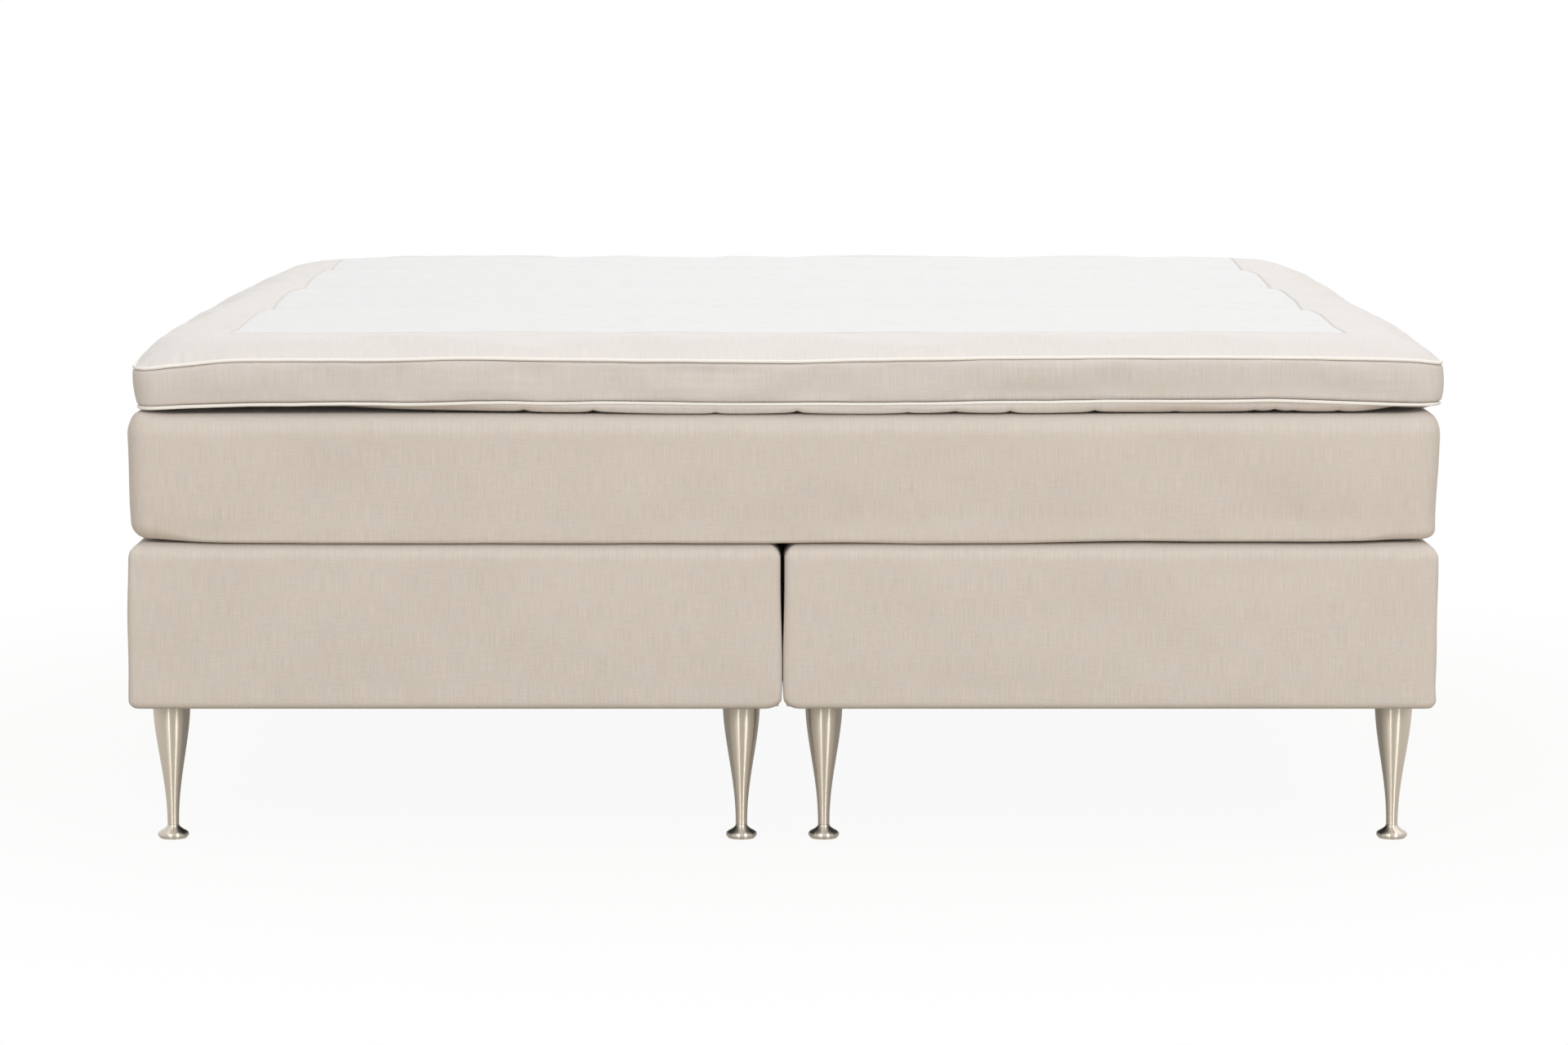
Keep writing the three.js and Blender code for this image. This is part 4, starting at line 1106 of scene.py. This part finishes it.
def lathe(name, profile, x, y, sides=96):
    """A turned piece at x and y, from pairs of radius and height going up."""
    profile = np.array(profile)
    turns = np.arange(sides) / sides * 2 * math.pi
    grid = np.array([np.column_stack([x + r * np.cos(turns), y + r * np.sin(turns), np.full(sides, z)])
                     for r, z in profile])
    along = np.arange(sides + 1) / sides * 2 * math.pi * profile[:, 0].max()
    piece = skin(name, grid, along, caps=(profile[0][1], profile[-1][1]))
    piece.data.set_sharp_from_angle(angle=math.radians(35))
    return piece


def curve_through(points, steps):
    """Points on a smooth curve that passes through the given ones."""
    points = np.array(points, float)
    padded = np.vstack([2 * points[0] - points[1], points, 2 * points[-1] - points[-2]])
    before, here, after, beyond = padded[:-3], padded[1:-2], padded[2:-1], padded[3:]
    t = (np.arange(steps) / steps)[:, None, None]
    found = 0.5 * (2 * here + (after - before) * t + (2 * before - 5 * here + 4 * after - beyond) * t * t
                   + (3 * here - before - 3 * after + beyond) * t ** 3)
    return [*found.swapaxes(0, 1).reshape(-1, 2), points[-1]]


def leg_and_foot(side, corner):
    node = f"{side}_leg_{corner}"
    low, high = corners_of(node)
    x, y = (low[:2] + high[:2]) / 2
    leg_top = high[2] - STUD_LENGTH
    bottom = FOOT_HEIGHT + 0.0001
    profile = [(LEG_NECK_RADIUS - LEG_BREAK, bottom), (LEG_NECK_RADIUS, bottom + LEG_BREAK)]
    for share in np.linspace(0, 1, 49)[1:]:
        swell = smooth(0, 1, share ** LEG_POWER)
        radius = LEG_NECK_RADIUS + (LEG_RADIUS - LEG_NECK_RADIUS) * swell
        profile.append((radius, bottom + (leg_top - bottom) * share))
    profile[-1] = (LEG_RADIUS, leg_top - LEG_TOP_BREAK)
    profile += [(LEG_RADIUS - LEG_TOP_BREAK, leg_top), (STUD_RADIUS, leg_top),
                (STUD_RADIUS, high[2] - STUD_BREAK), (STUD_RADIUS - STUD_BREAK, high[2])]
    leg = lathe(f"{side}_turned_leg_{corner}", profile, x, y)
    dress(leg, LEG_STEEL_WARM_REFLECTION, node, "leg_steel", node)
    outline = [(r * FOOT_RADIUS, h * FOOT_HEIGHT) for r, h in FOOT_PROFILE_SHARES]
    turned = [tuple(p) for p in curve_through(outline, 3)]
    collar = turned[-1][0]
    turned[-1:] = [(collar, FOOT_HEIGHT - LEG_BREAK), (collar - LEG_BREAK, FOOT_HEIGHT)]
    foot = lathe(f"{side}_turned_foot_{corner}", turned, x, y)
    dress(foot, FOOT_STEEL_WARM_REFLECTION, node, "foot_steel", f"{side}_foot_{corner}")


for side in ("left", "right"):
    for corner in ("front_outer", "front_inner", "rear_outer", "rear_inner"):
        leg_and_foot(side, corner)


# Solids that stay as they are, with a fuller material

KEPT = {"rail": PINE, "corner_block": PINE, "slat_deck": PINE, "pad": FOAM, "core": FOAM,
        "edge_frame": FOAM, "felt": FELT, "spring": SPRING_CLOTH, "plate": ZINC}
for name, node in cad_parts.items():
    for part, material in KEPT.items():
        if part in name:
            node.data.materials.clear()
            node.data.materials.append(material)


# Studio

WORLD_LIGHT = 0.56
WHITE_LIGHT = (1, 1, 1, 1)
FLOOR_COLOR = (0.46, 0.41, 0.32, 1)
FLOOR_REACH = 30
FLOOR_WHITE_NEAR = 0.94
FLOOR_WHITE_MIRRORED = 0.35
FLOOR_NEAR = 0.95
FLOOR_FAR = 2.3

# Each softbox: its name, place, target, width, height and power
SOFTBOXES = (
    ("overhead", (0.7, 0.6, 5.0), (0, 0, 0.6), 7.0, 7.0, 126),
    ("front_left", (-3.0, -5.8, 3.2), (0, -0.8, 0.4), 2.4, 2.4, 52),
    ("front_right", (3.4, -5.8, 3.2), (0, -0.8, 0.4), 2.4, 2.4, 74),
    ("rear", (0.6, 6.5, 3.4), (0, 0.6, 0.4), 3.0, 2.4, 115),
    ("strip_left", (-2.53, -8.59, 2.6), (0, -1, 0.75), 0.55, 4.6, 104),
    ("strip_right", (4.47, -7.63, 2.6), (0, -1, 0.75), 0.55, 4.6, 104),
)


def rays_seen(graph):
    """1 for rays from the camera, and 1 for those by way of a mirror or glass."""
    path = graph.node("LightPath").outputs
    mirrored = graph.math("MAXIMUM", path["Is Glossy Ray"], path["Is Transmission Ray"])
    return path["Is Camera Ray"], mirrored


def floor_material():
    """White when seen from far off; near the object the diffuse part keeps its shadow."""
    material = bpy.data.materials.new("floor")
    material.use_nodes = True
    g = Graph(material.node_tree)
    away = g.node("VectorMath", g.node("NewGeometry").outputs["Position"])
    away.operation = "LENGTH"
    shares = []
    for ray, near_white in zip(rays_seen(g), (FLOOR_WHITE_NEAR, FLOOR_WHITE_MIRRORED)):
        reach = g.node("MapRange", Value=away.outputs["Value"], From_Min=FLOOR_NEAR, From_Max=FLOOR_FAR,
                       To_Min=near_white, To_Max=1.0)
        reach.interpolation_type = "SMOOTHSTEP"
        shares.append(g.math("MULTIPLY", ray, reach.outputs["Result"]))
    diffuse = g.node("BsdfDiffuse", FLOOR_COLOR).outputs[0]
    glow = g.node("Emission").outputs[0]
    g.node("OutputMaterial", g.node("MixShader", g.math("MAXIMUM", *shares), diffuse, glow).outputs[0])
    return material


def add_floor():
    mesh = bpy.data.meshes.new("floor")
    r = FLOOR_REACH
    mesh.from_pydata([(-r, -r, 0), (r, -r, 0), (r, r, 0), (-r, r, 0)], [], [(0, 1, 2, 3)])
    mesh.materials.append(floor_material())
    placed("floor", mesh)


def add_world():
    world = bpy.data.worlds.new("studio")
    bpy.context.scene.world = world
    world.use_nodes = True
    g = Graph(world.node_tree)
    light, seen = (g.node("Background", WHITE_LIGHT, power).outputs[0] for power in (WORLD_LIGHT, 1.0))
    g.node("OutputWorld", g.node("MixShader", g.math("MAXIMUM", *rays_seen(g)), light, seen).outputs[0])


def add_softbox(name, place, target, width, height, power):
    lamp = bpy.data.lights.new(name, "AREA")
    lamp.shape = "RECTANGLE"
    lamp.size, lamp.size_y = width, height
    lamp.energy = power
    softbox = placed(name, lamp)
    softbox.location = place
    softbox.rotation_euler = (Vector(target) - Vector(place)).to_track_quat("-Z", "Y").to_euler()


def add_camera():
    foot_end = cad_box[0][1]
    data = bpy.data.cameras.new("camera")
    data.lens = CAMERA_LENS
    data.sensor_width = 36
    data.clip_end = 100
    camera = placed("camera", data)
    camera.location = (CAMERA_ASIDE, foot_end - CAMERA_DISTANCE, CAMERA_HEIGHT)
    camera.rotation_euler = (math.radians(90 - CAMERA_TILT), 0, 0)
    bpy.context.scene.camera = camera


add_floor()
add_world()
add_camera()
for softbox in SOFTBOXES:
    add_softbox(*softbox)
bpy.context.scene.view_settings.view_transform = "Standard"
